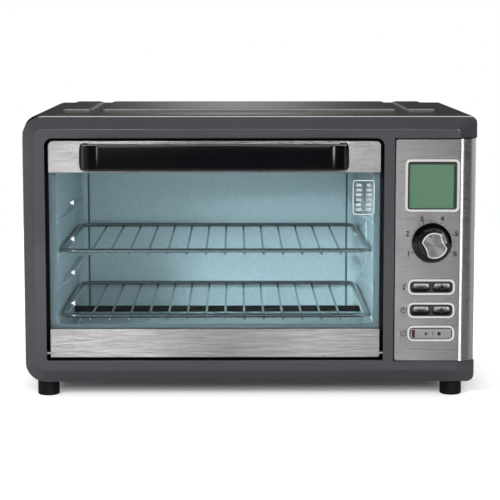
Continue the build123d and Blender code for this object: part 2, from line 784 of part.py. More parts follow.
def door_top_band():
    """Formed steel channel over the top of the glass, with the handle's screw holes."""
    z = (door_z[1] - top_band_h, door_z[1])
    face = corners(door_x, z, band_corner_r, band_corner_r, band_edge_r, band_edge_r)
    body = slab(face, (-door_front, band_inner_d)) - glass_pocket()
    for x in handle_screw_x:
        body -= rod_d(x, handle_screw_z, (-2 * door_front, band_inner_d + 1), screw_r + screw_fit)
    return body


def door_bottom_band():
    """Formed steel channel under the glass, holding the two hinge pins."""
    z = (door_z[0], door_z[0] + bottom_band_h)
    face = corners(door_x, z, band_edge_r, band_edge_r, foot_edge_r, foot_edge_r)
    body = slab(face, (-door_front, door_inner_d)) - glass_pocket()
    for pin in hinge_pin_ranges():
        body -= rod_x(pin, hinge_d, hinge_z, pin_r)
    return body


def hinge_pin_ranges():
    """X range of each hinge pin, from inside the door to the end of its bush."""
    reach = door_gap_side + bush_l - 1
    return [(door_x[0] - reach, door_x[0] + pin_seat), (door_x[1] - pin_seat, door_x[1] + reach)]


def door_hinge_pins():
    return [rod_x(x, hinge_d, hinge_z, pin_r) for x in hinge_pin_ranges()]


def door_hinge_bushes():
    """Flangeless bushes pressed into the frame's collar, one for each pin."""
    solids = []
    for x in ((open_x[0] - bush_l, open_x[0]), (open_x[1], open_x[1] + bush_l)):
        bush = rod_x(x, hinge_d, hinge_z, bush_r)
        solids.append(bush - rod_x(grow(x, 1), hinge_d, hinge_z, pin_r + run_fit))
    return solids


def door_handle():
    """Bowed bar: both ends curve back to the door and are barrelled in front view."""
    d = (-handle_reach, -door_front)
    outer = corners(handle_x, d, 0, 0, handle_bend_r, handle_bend_r)
    inner_r = handle_bend_r - handle_t
    inner = corners(grow(handle_x, -handle_wall), (d[0] + handle_t, d[1] + 1), 0, 0, inner_r, inner_r)
    body = extrude(Pos(0, 0, handle_z[0]) * (outer - inner), amount=handle_h)
    rims = [edge for edge in body.edges().filter_by(Plane.XY) if edge.center().Y < d[1] - door_front]
    body = fillet(rims, handle_edge_r)
    barrel = handle_end_disc(-1, 0) + handle_end_disc(1, 0)
    barrel += rounded(grow(handle_x, -2 * handle_bend_r), grow(handle_z, 1), 0)
    body &= slab(barrel, (-handle_reach - 1, 0))
    for x in handle_screw_x:
        body -= rod_d(x, handle_screw_z, (handle_bore_d, 0), screw_r)
    return body


def handle_end_disc(side, gap):
    """Disc whose rim is the bowed end of the handle in front view, larger by gap."""
    radius = (handle_h ** 2 / 4 + trim_bow ** 2) / (2 * trim_bow)
    x = handle_x[0] + radius if side < 0 else handle_x[1] - radius
    return Pos(x, middle(handle_z)) * Circle(radius + gap)


def handle_end_trims():
    """Bright crescents on the top band, one round each bowed end of the handle."""
    solids = []
    for side in (-1, 1):
        end = handle_x[0] if side < 0 else handle_x[1]
        ring = handle_end_disc(side, fit + trim_w) - handle_end_disc(side, fit)
        keep = Pos(end, middle(handle_z)) * Rectangle(4 * trim_bow, handle_h)
        solids.append(slab(ring & keep, (-door_front - trim_t, -door_front)))
    return solids


def handle_screws():
    """Screws from inside the door, through its top band and glass, into the handle."""
    return [screw_d(x, handle_screw_z, band_inner_d, handle_tip_d) for x in handle_screw_x]


# ---- Control panel ----
def panel_plan(x, front, radius, back):
    """Plan view of the panel: flat at the front and rounded at the right."""
    return corners(x, (front, back), 0, 0, 0, radius)


def button_places(row):
    """X of each button in a row, and the width and height of its face."""
    if row == "start":
        return [(controls_x, start_w, start_h)]
    return [(controls_x + way * button_step / 2, button_w, button_h) for way in (-1, 1)]


def panel_openings(gap):
    """Front view of every opening through the panel, larger all round by gap."""
    half_w = display_w / 2 + gap
    half_h = display_h / 2 + gap
    shape = rounded(grow((controls_x, controls_x), half_w), grow((display_z, display_z), half_h),
                    display_r + gap)
    shape += Pos(controls_x, knob_z) * Circle(bushing_r + gap)
    for z in row_zs.values():
        width = pill_w / 2 - pill_rim + gap
        height = pill_h / 2 - pill_rim + gap
        shape += rounded(grow((controls_x, controls_x), width), grow((z, z), height),
                         pill_r - pill_rim + gap)
    return shape


def control_panel():
    """Brushed steel skin, folded back over the carrier at its left and right edges."""
    outer = panel_plan(panel_x, -panel_proud, panel_bend_r, frame_d)
    inner = panel_plan(grow(panel_x, -skin_t), -panel_proud + skin_t, panel_bend_r - skin_t, frame_d + 1)
    body = extrude(Pos(0, 0, panel_z[0]) * (outer - inner), amount=span(panel_z))
    return body - slab(panel_openings(2 * fit + collar_t), (rim_front, board_d))


def panel_carrier():
    """Moulded box behind the skin that holds the display, board, encoder and buttons."""
    radius = panel_bend_r - skin_t - fit
    outer = panel_plan(carrier_x, carrier_front, radius, frame_d)
    inner = panel_plan(grow(carrier_x, -carrier_t), carrier_front + carrier_t, radius - carrier_t,
                       frame_d + 1)
    body = extrude(Pos(0, 0, carrier_z[0]) * outer, amount=span(carrier_z))
    body -= extrude(Pos(0, 0, carrier_z[0] + carrier_t) * inner, amount=span(carrier_z) - 2 * carrier_t)
    for x, z in board_post_places():
        body += rod_d(x, z, (carrier_front + carrier_t / 2, board_d), standoff_r)
    return body - slab(panel_openings(2 * fit + collar_t), (rim_front, board_d))


def board_post_places():
    x = (carrier_x[0] + carrier_t + board_edge, panel_x[1] - panel_bend_r)
    z = (carrier_z[0] + carrier_t + board_edge, carrier_z[1] - carrier_t - board_edge)
    return [(px, pz) for px in x for pz in z]


def display_bezel():
    """Bright rim of the display, with a collar that reaches through the panel."""
    x = grow((controls_x, controls_x), display_w / 2)
    z = grow((display_z, display_z), display_h / 2)
    collar = rounded(grow(x, collar_t), grow(z, collar_t), display_r + collar_t)
    rim = rounded(grow(x, display_rim), grow(z, display_rim), display_r + display_rim)
    body = slab(rim, (rim_front, -panel_proud)) + slab(collar, (-panel_proud, carrier_front + carrier_t))
    return body - slab(rounded(x, z, display_r), (rim_front - 1, board_d))


def display_window():
    """Clear window inside the display's rim."""
    x = grow((controls_x, controls_x), display_w / 2 - fit)
    z = grow((display_z, display_z), display_h / 2 - fit)
    return slab(rounded(x, z, display_r - fit), (-panel_proud, -panel_proud + window_t))


def lcd_module():
    """Display module clipped behind the carrier, on the control board."""
    start = carrier_front + carrier_t
    x = grow((controls_x, controls_x), display_w / 2 + lcd_edge)
    z = grow((display_z, display_z), display_h / 2 + lcd_edge)
    foot = block(grow(x, -lcd_foot_in), (start + lcd_t, board_d), grow(z, -lcd_foot_in))
    return block(x, (start, start + lcd_t), z) + foot


def control_board():
    x = (carrier_x[0] + carrier_t + 1, carrier_x[1] - carrier_t - 1)
    z = (carrier_z[0] + carrier_t + 1, carrier_z[1] - carrier_t - 1)
    return block(x, (board_d, board_d + board_t), z)


def pill_bezel(row):
    """Bright rounded rim of a button row, with a web that the buttons pass through."""
    z = grow((row_zs[row], row_zs[row]), pill_h / 2)
    x = grow((controls_x, controls_x), pill_w / 2)
    rim = rounded(x, z, pill_r)
    inside = rounded(grow(x, -pill_rim), grow(z, -pill_rim), pill_r - pill_rim)
    collar_in = pill_rim - collar_t
    collar = rounded(grow(x, -collar_in), grow(z, -collar_in), pill_r - collar_in)
    body = slab(rim, (rim_front, -panel_proud)) + slab(collar, (-panel_proud, carrier_front + carrier_t))
    body -= slab(inside, (rim_front - 1, -panel_proud))
    for bx, width, height in button_places(row):
        hole = rounded(grow((bx, bx), width / 2 + button_gap),
                       grow((row_zs[row], row_zs[row]), height / 2 + button_gap), button_corner(row))
        body -= slab(hole, (rim_front, board_d))
    return body


def button_corner(row):
    return start_r if row == "start" else button_r


def push_button(row, index):
    """Push button with a soft front edge, a retaining flange and a stem to its switch."""
    bx, width, height = button_places(row)[index]
    z = row_zs[row]
    face = rounded(grow((bx, bx), width / 2), grow((z, z), height / 2), button_corner(row))
    cap = slab(face, (button_front, carrier_front + carrier_t + fit))
    cap = fillet(cap.faces().sort_by(Axis.Y)[0].edges(), button_edge_r)
    inside = carrier_front + carrier_t + fit
    flange = block(grow((bx, bx), width / 2 + button_flange), (inside, inside + button_flange_t),
                   grow((z, z), height / 2 + button_flange))
    stem = block(grow((bx, bx), stem_w / 2), (inside - 1, switch_top - switch_gap),
                 grow((z, z), stem_w / 2))
    body = cap + flange + stem
    if row == "start":
        body -= slab(lamp_face(fit / 2), (button_front - 1, button_front + lamp_t))
    return body


def lamp_face(gap):
    """Front view of the indicator window at the left end of the start button."""
    left = controls_x - start_w / 2 + lamp_in
    height = start_h / 2 - lamp_margin + gap
    return rounded(grow((left, left + lamp_w), gap), grow((row_zs["start"], row_zs["start"]), height),
                   lamp_r)


def start_indicator():
    """Red light pipe let into the start button."""
    return slab(lamp_face(0), (button_front, button_front + lamp_t))


def button_switches():
    """Tactile switches on the control board, one behind each button's stem."""
    solids = []
    for row, z in row_zs.items():
        for bx, width, height in button_places(row):
            solids.append(block(grow((bx, bx), switch_w / 2), (switch_top, board_d),
                                grow((z, z), switch_w / 2)))
    return solids


# ---- Selector knob and encoder ----
def selector_knob():
    """Tapered grip with two flats on a round skirt, and a notch that points."""
    grip_r = knob_r - knob_shoulder
    profile = Plane.XZ * Polygon((0, 0), (knob_r, 0), (knob_r, knob_skirt - knob_edge),
                                 (knob_r - knob_edge, knob_skirt), (grip_r, knob_skirt + knob_edge),
                                 (knob_face_r + knob_edge, knob_l - knob_edge),
                                 (knob_face_r, knob_l), (0, knob_l), align=None)
    body = revolve(profile, Axis.Z)
    cut = (knob_skirt + 2 * knob_edge, knob_l + 1)
    for way in (-1, 1):
        side = Box(knob_r, 3 * knob_r, span(cut))
        body -= Pos(way * (knob_flats / 2 + knob_r / 2), 0, middle(cut)) * side
    body -= Pos(0, knob_face_r, knob_l) * Box(notch_w, notch_l, 2 * notch_h)
    body -= Pos(0, 0, hub_bore_l / 2) * Cylinder(hub_bore_r, hub_bore_l)
    body -= Pos(0, 0, spindle_l / 2) * Cylinder(spindle_r, spindle_l)
    return Pos(controls_x, knob_back, knob_z) * Rot(90, 0, 0) * Rot(0, 0, knob_turn) * body


def encoder_body():
    """Rotary encoder on the control board, with its threaded bushing."""
    w = grow((controls_x, controls_x), encoder_w / 2)
    z = grow((knob_z, knob_z), encoder_w / 2)
    body = block(w, (board_d - encoder_l, board_d), z)
    front = knob_back - 2 * nut_h
    body += rod_d(controls_x, knob_z, (front, board_d - encoder_l), bushing_r)
    return body - rod_d(controls_x, knob_z, (front - 1, board_d - encoder_floor), spindle_r + run_fit)


def encoder_nut():
    """Hexagonal nut that clamps the encoder's bushing to the panel."""
    nut = RegularPolygon(nut_r, 6) - Circle(bushing_r + run_fit)
    return slab(Pos(controls_x, knob_z) * nut, (-panel_proud - nut_h, -panel_proud))


def encoder_shaft():
    """Spindle that the knob is pushed on."""
    reach = (knob_back - spindle_l + fit, board_d - encoder_floor - fit)
    return rod_d(controls_x, knob_z, reach, spindle_r)


# ---- Power electronics ----
def power_board():
    z = base_top + standoff_h
    return block(power_x, power_d, (z, z + board_t))


def power_components():
    """Transformer, two heater relays, a fan relay and a capacitor."""
    z = base_top + standoff_h + board_t
    x = power_x[0] + part_gap
    d = power_d[0] + ribbon_in + part_gap
    rear = power_d[1] - part_gap
    solids = [block((x, x + transformer[0]), (rear - transformer[1], rear), (z, z + transformer[2]))]
    for column, row in ((0, 0), (1, 0), (0, 1)):
        left = x + column * (relay[0] + part_gap)
        front = d + row * (relay[1] + part_gap)
        solids.append(block((left, left + relay[0]), (front, front + relay[1]), (z, z + relay[2])))
    capacitor_x = power_x[1] - part_gap - capacitor_r
    return solids + [rod_z(capacitor_x, middle(power_d), (z, z + capacitor_h), capacitor_r)]


def board_standoffs():
    x = grow(power_x, -2 * standoff_r)
    d = grow(power_d, -2 * standoff_r)
    z = (base_top, base_top + standoff_h)
    return [rod_z(px, pd, z, standoff_r) for px in x for pd in d]


def ribbon_cable():
    """Flat cable from the control board down and back to the power board."""
    top = base_top + standoff_h + board_t
    start = board_d + board_t
    knee = start + ribbon_knee
    high = carrier_z[0] + ribbon_up
    landing = power_d[0] + ribbon_in
    path = [(start, high), (knee, high), (landing, top + 6 * ribbon_t),
            (landing, top), (landing - ribbon_t, top), (landing - ribbon_t, top + 5.5 * ribbon_t),
            (knee - ribbon_t / 2, high - ribbon_t), (start, high - ribbon_t)]
    side = Plane.YZ * Polygon(*path, align=None)
    return Pos(controls_x, 0, 0) * extrude(side, amount=ribbon_w)


pieces = {
    "front_frame": front_frame,
    "cabinet_shell": cabinet_shell,
    "base_plate": base_plate,
    "rear_panel": rear_panel,
    "case_screws": case_screws,
    "cord_gland": cord_gland,
    "feet": feet,
    "foot_screws": foot_screws,
    "cavity_front_plate": cavity_front_plate,
    "frame_screws": frame_screws,
    "cavity_left_wall": lambda: side_wall(-1),
    "cavity_right_wall": cavity_right_wall,
    "cavity_rear_wall": cavity_rear_wall,
    "cavity_ceiling": lambda: cavity_plate(cavity_z[1]),
    "cavity_floor": lambda: cavity_plate(cavity_z[0] - wall),
    "cavity_brackets": cavity_brackets,
    "upper_heating_elements": lambda: heating_elements("upper"),
    "lower_heating_elements": lambda: heating_elements("lower"),
    "heater_insulators": heater_insulators,
    "temperature_probe": temperature_probe,
    "fan_cover": fan_cover,
    "fan_housing": fan_housing,
    "fan_rotor": fan_rotor,
    "fan_shaft": fan_shaft,
    "fan_motor": fan_motor,
    "lower_rack": lambda: wire_rack(lower_level),
    "upper_rack": lambda: wire_rack(upper_level),
    "crumb_tray": crumb_tray,
    "door_glass": door_glass,
    "door_top_band": door_top_band,
    "door_bottom_band": door_bottom_band,
    "door_hinge_pins": door_hinge_pins,
    "door_hinge_bushes": door_hinge_bushes,
    "door_handle": door_handle,
    "handle_end_trims": handle_end_trims,
    "handle_screws": handle_screws,
    "control_panel": control_panel,
    "panel_carrier": panel_carrier,
    "display_bezel": display_bezel,
    "display_window": display_window,
    "lcd_module": lcd_module,
    "control_board": control_board,
    "temperature_bezel": lambda: pill_bezel("temperature"),
    "time_bezel": lambda: pill_bezel("time"),
    "start_bezel": lambda: pill_bezel("start"),
    "temperature_down_button": lambda: push_button("temperature", 0),
    "temperature_up_button": lambda: push_button("temperature", 1),
    "time_down_button": lambda: push_button("time", 0),
    "time_up_button": lambda: push_button("time", 1),
    "start_button": lambda: push_button("start", 0),
    "start_indicator": start_indicator,
    "button_switches": button_switches,
    "selector_knob": selector_knob,
    "encoder_shaft": encoder_shaft,
    "encoder_body": encoder_body,
    "encoder_nut": encoder_nut,
    "power_board": power_board,
    "power_components": power_components,
    "board_standoffs": board_standoffs,
    "ribbon_cable": ribbon_cable,
}


def save(name, shape):
    """Move a piece to the part's own origin and write it as one STEP file."""
    solids = shape if isinstance(shape, list) else [shape]
    moved = [Pos(0, -centre_d, 0) * solid for solid in solids]
    export_step(Compound(children=[s for piece in moved for s in piece.solids()]), f"parts/{name}.step")


os.makedirs("parts", exist_ok=True)
for piece_name, make in pieces.items():
    save(piece_name, make())
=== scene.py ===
from math import cos, pi, radians, sin

import bmesh
import bpy
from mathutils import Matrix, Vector


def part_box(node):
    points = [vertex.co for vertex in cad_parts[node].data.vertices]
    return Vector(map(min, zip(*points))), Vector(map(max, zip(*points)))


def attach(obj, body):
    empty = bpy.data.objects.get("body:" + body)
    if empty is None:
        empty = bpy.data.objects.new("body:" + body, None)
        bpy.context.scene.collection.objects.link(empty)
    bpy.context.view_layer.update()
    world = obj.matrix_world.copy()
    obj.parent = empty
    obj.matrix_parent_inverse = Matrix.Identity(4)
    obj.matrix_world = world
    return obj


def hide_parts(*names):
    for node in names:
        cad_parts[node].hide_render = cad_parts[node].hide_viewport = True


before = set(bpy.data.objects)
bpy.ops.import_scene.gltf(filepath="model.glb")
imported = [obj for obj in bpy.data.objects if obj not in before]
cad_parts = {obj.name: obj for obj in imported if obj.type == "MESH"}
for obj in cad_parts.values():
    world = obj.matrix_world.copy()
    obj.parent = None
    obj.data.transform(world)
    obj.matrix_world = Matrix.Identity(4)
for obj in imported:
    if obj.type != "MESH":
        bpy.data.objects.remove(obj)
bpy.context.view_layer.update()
MM = 0.001


# Front frame: one moulding of dark grey lacquered plastic, a flat face with a border that slopes
# back to the cabinet and a collar into the door's opening. Screws behind hold it to the mouth plate.


def add_node(tree, kind, sockets=(), **settings):
    """Adds a shader node, gives it its settings, and fills its sockets with values or links."""
    made = tree.nodes.new("ShaderNode" + kind)
    for key, value in settings.items():
        setattr(made, key, value)
    for key, value in dict(sockets).items():
        if isinstance(value, bpy.types.NodeSocket):
            tree.links.new(value, made.inputs[key])
        else:
            made.inputs[key].default_value = value
    return made


def start_group(name, inputs, outputs):
    """An empty shader group with its sockets, and its two end nodes."""
    group = bpy.data.node_groups.new(name, "ShaderNodeTree")
    for label, kind, value in inputs:
        socket = group.interface.new_socket(label, in_out="INPUT", socket_type="NodeSocket" + kind)
        if value is not None:
            socket.default_value = value
    for label, kind in outputs:
        group.interface.new_socket(label, in_out="OUTPUT", socket_type="NodeSocket" + kind)
    return group, group.nodes.new("NodeGroupInput").outputs, group.nodes.new("NodeGroupOutput").inputs


def start_finish(name, **plain):
    """A material whose shader has its plain sockets set, with its tree and Object coordinates."""
    made = bpy.data.materials.new(name)
    made.use_nodes = True
    tree = made.node_tree
    shader = tree.nodes["Principled BSDF"]
    for key, value in plain.items():
        shader.inputs[key.replace("_", " ")].default_value = value
    place = add_node(tree, "TexCoord").outputs["Object"]
    return made, tree, shader, place


def moulded_skin():
    """Shader group: the faint orange peel and cloudiness of paint and of moulded plastic."""
    group, given, out = start_group(
        "moulded skin",
        [
            ("Vector", "Vector", None), ("Grain", "Float", 900.0),
            ("Depth", "Float", 0.1), ("Cloud", "Float", 14.0),
        ],
        [("Mottle", "Float"), ("Normal", "Vector")],
    )
    grain = add_node(group, "TexNoise", {"Vector": given["Vector"], "Scale": given["Grain"], "Detail": 3.0})
    cloud = add_node(group, "TexNoise", {"Vector": given["Vector"], "Scale": given["Cloud"], "Detail": 4.0})
    bump = add_node(
        group, "Bump", {"Strength": given["Depth"], "Distance": 0.2 * MM, "Height": grain.outputs["Fac"]}
    )
    group.links.new(cloud.outputs["Fac"], out["Mottle"])
    group.links.new(bump.outputs["Normal"], out["Normal"])
    return group


def use_group(tree, group, sockets):
    """Places a shader group in a material with that material's own values."""
    return add_node(tree, "Group", sockets, node_tree=group).outputs


def blend_colours(tree, shader, amount, dark, light):
    """Feeds the shader's colour with a blend of two near shades."""
    mix = add_node(tree, "Mix", {0: amount, 6: (*dark, 1.0), 7: (*light, 1.0)}, data_type="RGBA")
    tree.links.new(mix.outputs[2], shader.inputs["Base Color"])


def blend_roughness(tree, shader, amount, low, high):
    """Feeds the shader's roughness from a pattern, between two values."""
    spread = add_node(tree, "MapRange", {"Value": amount, "To Min": low, "To Max": high})
    tree.links.new(spread.outputs["Result"], shader.inputs["Roughness"])


def dress(tree, shader, tone, normal, dark, light, rough):
    """Feeds a shader's colour, roughness and normal from a pattern."""
    blend_colours(tree, shader, tone, dark, light)
    blend_roughness(tree, shader, tone, *rough)
    tree.links.new(normal, shader.inputs["Normal"])


def moulded_finish(name, dark, light, rough, grain, depth, cloud=14.0, **plain):
    """Paint or plastic: two near shades, a spread of roughness and a fine skin."""
    made, tree, shader, place = start_finish(name, **plain)
    skin = use_group(tree, skin_group, {"Vector": place, "Grain": grain, "Depth": depth, "Cloud": cloud})
    dress(tree, shader, skin["Mottle"], skin["Normal"], dark, light, rough)
    return made


def corners(box):
    """The lower and the upper corner of a box, as vectors."""
    return [Vector(corner) for corner in box]


def middle_of(box):
    """The middle of a box."""
    return sum(corners(box), Vector()) / 2.0


def pick(piece):
    """Selects one piece alone and makes it active."""
    bpy.ops.object.select_all(action="DESELECT")
    piece.select_set(True)
    bpy.context.view_layer.objects.active = piece


def joined_copy(node, name):
    """A copy of a solid's mesh with its triangles joined up, selected and in edit mode."""
    piece = bpy.data.objects.new(name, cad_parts[node].data.copy())
    bpy.context.collection.objects.link(piece)
    piece.data.materials.clear()
    pick(piece)
    bpy.ops.object.mode_set(mode="EDIT")
    bpy.ops.mesh.select_all(action="SELECT")
    bpy.ops.mesh.customdata_custom_splitnormals_clear()
    bpy.ops.mesh.remove_doubles(threshold=0.002 * MM)
    bpy.ops.mesh.dissolve_limited(angle_limit=radians(0.5))
    bpy.ops.mesh.select_all(action="DESELECT")
    return piece


def bevel_sharp(piece, width, rounds, wanted, sharp=30.0):
    """Rounds the sharp edges whose middle passes the test, in edit mode."""
    bpy.ops.mesh.select_mode(type="EDGE")
    mesh = bmesh.from_edit_mesh(piece.data)
    for edge in mesh.edges:
        middle = (edge.verts[0].co + edge.verts[1].co) / 2.0
        folded = len(edge.link_faces) == 2 and edge.calc_face_angle() > radians(sharp)
        edge.select_set(folded and wanted(middle))
    bmesh.update_edit_mesh(piece.data)
    bpy.ops.mesh.bevel(offset=width, segments=rounds, profile=0.5, clamp_overlap=False)
    bpy.ops.mesh.select_all(action="DESELECT")


def finish_piece(piece, made, body, slot, *nodes):
    """Leaves edit mode, smooths the piece, gives it its material and its body, and hides the solids it stands
    in for.
    """
    if piece.mode == "EDIT":
        bpy.ops.object.mode_set(mode="OBJECT")
    pick(piece)
    bpy.ops.object.transform_apply(location=True, rotation=True, scale=True)
    bpy.ops.object.shade_smooth_by_angle(angle=radians(35.0))
    bpy.ops.object.modifier_add(type="WEIGHTED_NORMAL")
    piece.modifiers[-1].keep_sharp = True
    bpy.ops.object.modifier_apply(modifier=piece.modifiers[-1].name)
    piece.data.materials.clear()
    piece.data.materials.append(made)
    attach(piece, body)
    if nodes:
        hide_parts(*nodes)


def finish_faces(piece, made, wanted):
    """Gives the faces that pass the test one more material of their own."""
    piece.data.materials.append(made)
    for face in piece.data.polygons:
        if wanted(face):
            face.material_index = len(piece.data.materials) - 1


skin_group = moulded_skin()
frame_lacquer = moulded_finish(
    "frame lacquer", (0.060, 0.061, 0.070), (0.072, 0.073, 0.083), (0.3, 0.38), 1600.0, 0.04,
    Metallic=0.35, Coat_Weight=0.8, Coat_Roughness=0.07,
)
frame_low, frame_high = corners(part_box("front_frame"))
frame_moulding = joined_copy("front_frame", "frame_moulding")
face_end, border_end = frame_low.y + 8.0 * MM, frame_low.y + 20.0 * MM
bevel_sharp(
    frame_moulding, 1.6 * MM, 5, lambda at: face_end < at.y < border_end and
    max(abs(at.x) - frame_high.x, at.z - frame_high.z) > -0.5 * MM, sharp=20.0,
)
bevel_sharp(frame_moulding, 0.8 * MM, 3, lambda at: at.y < face_end, sharp=20.0)
finish_piece(frame_moulding, frame_lacquer, "oven_body", "frame_grey", "front_frame")
# The collar's lining behind the frame's face is near black as painted shade of the deep gap round the door. The
# same black is painted shade on the mouth plate's margin, and it is also the handle's matt upper side.
matt_black_and_painted_shade = moulded_finish(
    "matt black and painted shade", (0.004, 0.004, 0.004), (0.008, 0.008, 0.008), (0.6, 0.7), 1500.0, 0.1,
    Specular_IOR_Level=0.1,
)
gap = 4.6 * MM
door_left, door_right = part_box("door_top_band")[0][0] - gap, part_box("door_top_band")[1][0] + gap
door_foot, door_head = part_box("door_bottom_band")[0][2] - gap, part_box("door_top_band")[1][2] + gap


def in_collar(face):
    """True for the faces that line the door's opening, behind the frame's own face, which take the painted
    shade.
    """
    at = face.center
    behind = at.y > frame_low.y + 1.0 * MM
    return behind and door_left < at.x < door_right and door_foot < at.z < door_head


finish_faces(frame_moulding, matt_black_and_painted_shade, in_collar)


# Cabinet: one folded sheet over both sides and the top, painted dark grey with a gloss coat, with
# three pressed pads in its top. It is screwed to the rear panel's edges and slips behind the frame.


def finish_nodes(made, *names):
    """Puts a finish on solids that keep their own mesh."""
    for name in names:
        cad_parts[name].material_slots[0].material = made


def rolled_sheet_enamel():
    """Gloss paint over a wide pressed sheet, which is never quite flat and draws reflections out."""
    made = moulded_finish(
        "cabinet enamel", (0.046, 0.046, 0.043), (0.060, 0.060, 0.056), (0.09, 0.15), 700.0, 0.04,
        Metallic=0.5, Specular_Tint=(0.36, 0.36, 0.345, 1.0),
    )
    tree = made.node_tree
    place = add_node(tree, "TexCoord").outputs["Object"]
    stretched = add_node(tree, "Mapping", {"Vector": place, "Scale": (2.5, 16.0, 10.0)})
    wave = add_node(tree, "TexNoise", {"Vector": stretched.outputs["Vector"], "Scale": 1.0, "Detail": 1.0})
    shader = tree.nodes["Principled BSDF"]
    skin_normal = shader.inputs["Normal"].links[0].from_socket
    bump = add_node(
        tree, "Bump",
        {"Strength": 1.0, "Distance": 0.5 * MM, "Height": wave.outputs["Fac"], "Normal": skin_normal},
    )
    tree.links.new(bump.outputs["Normal"], shader.inputs["Normal"])
    return made


cabinet_enamel = rolled_sheet_enamel()
cabinet_low, cabinet_high = corners(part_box("cabinet_shell"))
cabinet = joined_copy("cabinet_shell", "cabinet_wrap")
bevel_sharp(cabinet, 2.2 * MM, 6, lambda at: at.z > cabinet_high.z - 0.3 * MM, sharp=20.0)
bevel_sharp(
    cabinet, 0.35 * MM, 2,
    lambda at: at.z > cabinet_high.z - 2.9 * MM and at.y < cabinet_low.y + 0.2 * MM, sharp=60.0,
)
finish_piece(cabinet, cabinet_enamel, "oven_body", "cabinet_paint", "cabinet_shell")


# Base and rear panel: galvanised sheet, pierced with vent slots, and the channels that carry the
# cavity above the base. The zinc shows the large flat crystals that it sets in.


def zinc_spangle():
    """Shader group: the crystals of a galvanised sheet, as a tone and a slight tilt."""
    group, given, out = start_group(
        "zinc spangle",
        [("Vector", "Vector", None), ("Scale", "Float", 90.0), ("Depth", "Float", 0.1)],
        [("Tone", "Float"), ("Normal", "Vector")],
    )
    warp = add_node(group, "TexNoise", {"Vector": given["Vector"], "Scale": 60.0, "Detail": 2.0})
    bent = add_node(
        group, "MixRGB", {"Fac": 0.012, "Color1": given["Vector"], "Color2": warp.outputs["Color"]}
    )
    cells = add_node(group, "TexVoronoi", {"Vector": bent.outputs["Color"], "Scale": given["Scale"]})
    tone = add_node(group, "SeparateColor", {"Color": cells.outputs["Color"]})
    bump = add_node(
        group, "Bump", {"Strength": given["Depth"], "Distance": 0.3 * MM, "Height": tone.outputs["Green"]}
    )
    group.links.new(tone.outputs["Red"], out["Tone"])
    group.links.new(bump.outputs["Normal"], out["Normal"])
    return group


def sheet_finish(name, dark, light, rough, scale, depth, **plain):
    """Galvanised or aluminised sheet."""
    made, tree, shader, place = start_finish(name, **plain)
    spangle = use_group(tree, spangle_group, {"Vector": place, "Scale": scale, "Depth": depth})
    dress(tree, shader, spangle["Tone"], spangle["Normal"], dark, light, rough)
    return made


spangle_group = zinc_spangle()
galvanised = sheet_finish(
    "galvanised sheet", (0.45, 0.46, 0.47), (0.52, 0.53, 0.54), (0.34, 0.44), 110.0, 0.05, Metallic=0.85
)
finish_nodes(galvanised, "base_plate", "rear_panel", "cavity_brackets", "fan_housing")


# Screws: plated steel, five through the rear panel, four up through the feet, four behind the frame
# and two in the door for the handle, with the fan's and the knob's shafts and the probe alike.
turned_steel = moulded_finish(
    "plated steel", (0.50, 0.50, 0.49), (0.66, 0.66, 0.64), (0.2, 0.34), 2600.0, 0.1, cloud=220.0,
    Metallic=1.0,
)
finish_nodes(
    turned_steel, "case_screws", "foot_screws", "frame_screws", "handle_screws", "fan_shaft",
    "encoder_shaft", "encoder_nut", "temperature_probe", "door_hinge_pins",
)


# Feet: four soft black moulded discs with a rounded lower rim. One screw through each of them holds
# it up against the base.
foot_rubber = moulded_finish(
    "foot rubber", (0.003, 0.003, 0.004), (0.006, 0.006, 0.007), (0.5, 0.62), 1500.0, 0.25, cloud=40.0,
    Specular_IOR_Level=0.3,
)
feet = joined_copy("feet", "rubber_feet")
bevel_sharp(feet, 1.2 * MM, 4, lambda at: at.z < 1.5 * MM)
finish_piece(feet, foot_rubber, "oven_body", "foot_black", "feet")


# Cord gland, panel carrier and board posts: plain black moulded plastic with a spark-eroded skin.
# The gland sits in the rear panel, the carrier behind the control panel and the posts on the base.
black_moulding = moulded_finish(
    "black moulding", (0.014, 0.014, 0.015), (0.022, 0.022, 0.023), (0.42, 0.55), 1900.0, 0.3, cloud=30.0
)
finish_nodes(black_moulding, "cord_gland", "panel_carrier", "board_standoffs")


# Cavity: walls with pressed ledges, floor, ceiling, fan guard and crumb tray of aluminised steel, with
# folded seams at the rear, dark as painted shade down the rear corners. The door shuts on an enamelled
# plate whose margin round the glass is black as painted shade of the gap, and all of it is held between
# that plate and the channels on the base.


def cut_across(shape, at, way):
    """Cuts a shape's faces where a plane through a point crosses them."""
    whole = shape.verts[:] + shape.edges[:] + shape.faces[:]
    bmesh.ops.bisect_plane(shape, geom=whole, plane_co=at, plane_no=way, dist=0.001 * MM)


aluminised = sheet_finish(
    "aluminised steel", (0.72, 0.74, 0.75), (0.81, 0.83, 0.84), (0.34, 0.46), 420.0, 0.03, Metallic=0.35
)
mouth_enamel = moulded_finish(
    "mouth enamel", (0.16, 0.17, 0.18), (0.21, 0.22, 0.23), (0.3, 0.42), 900.0, 0.08, cloud=25.0,
    Metallic=0.4,
)
mouth = joined_copy("cavity_front_plate", "mouth_plate")
shape = bmesh.from_edit_mesh(mouth.data)
edge_left, edge_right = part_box("door_glass")[0][0] - 1.5 * MM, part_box("door_glass")[1][0] + 1.0 * MM
edge_foot, edge_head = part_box("door_bottom_band")[0][2] + 6.0 * MM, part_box("door_top_band")[1][2] - 6.0 * MM
for edge in (edge_left, edge_right):
    cut_across(shape, (edge, 0.0, 0.0), (1.0, 0.0, 0.0))
for edge in (edge_foot, edge_head):
    cut_across(shape, (0.0, 0.0, edge), (0.0, 0.0, 1.0))
bmesh.update_edit_mesh(mouth.data)
finish_piece(mouth, mouth_enamel, "oven_body", "cavity_sheet", "cavity_front_plate")
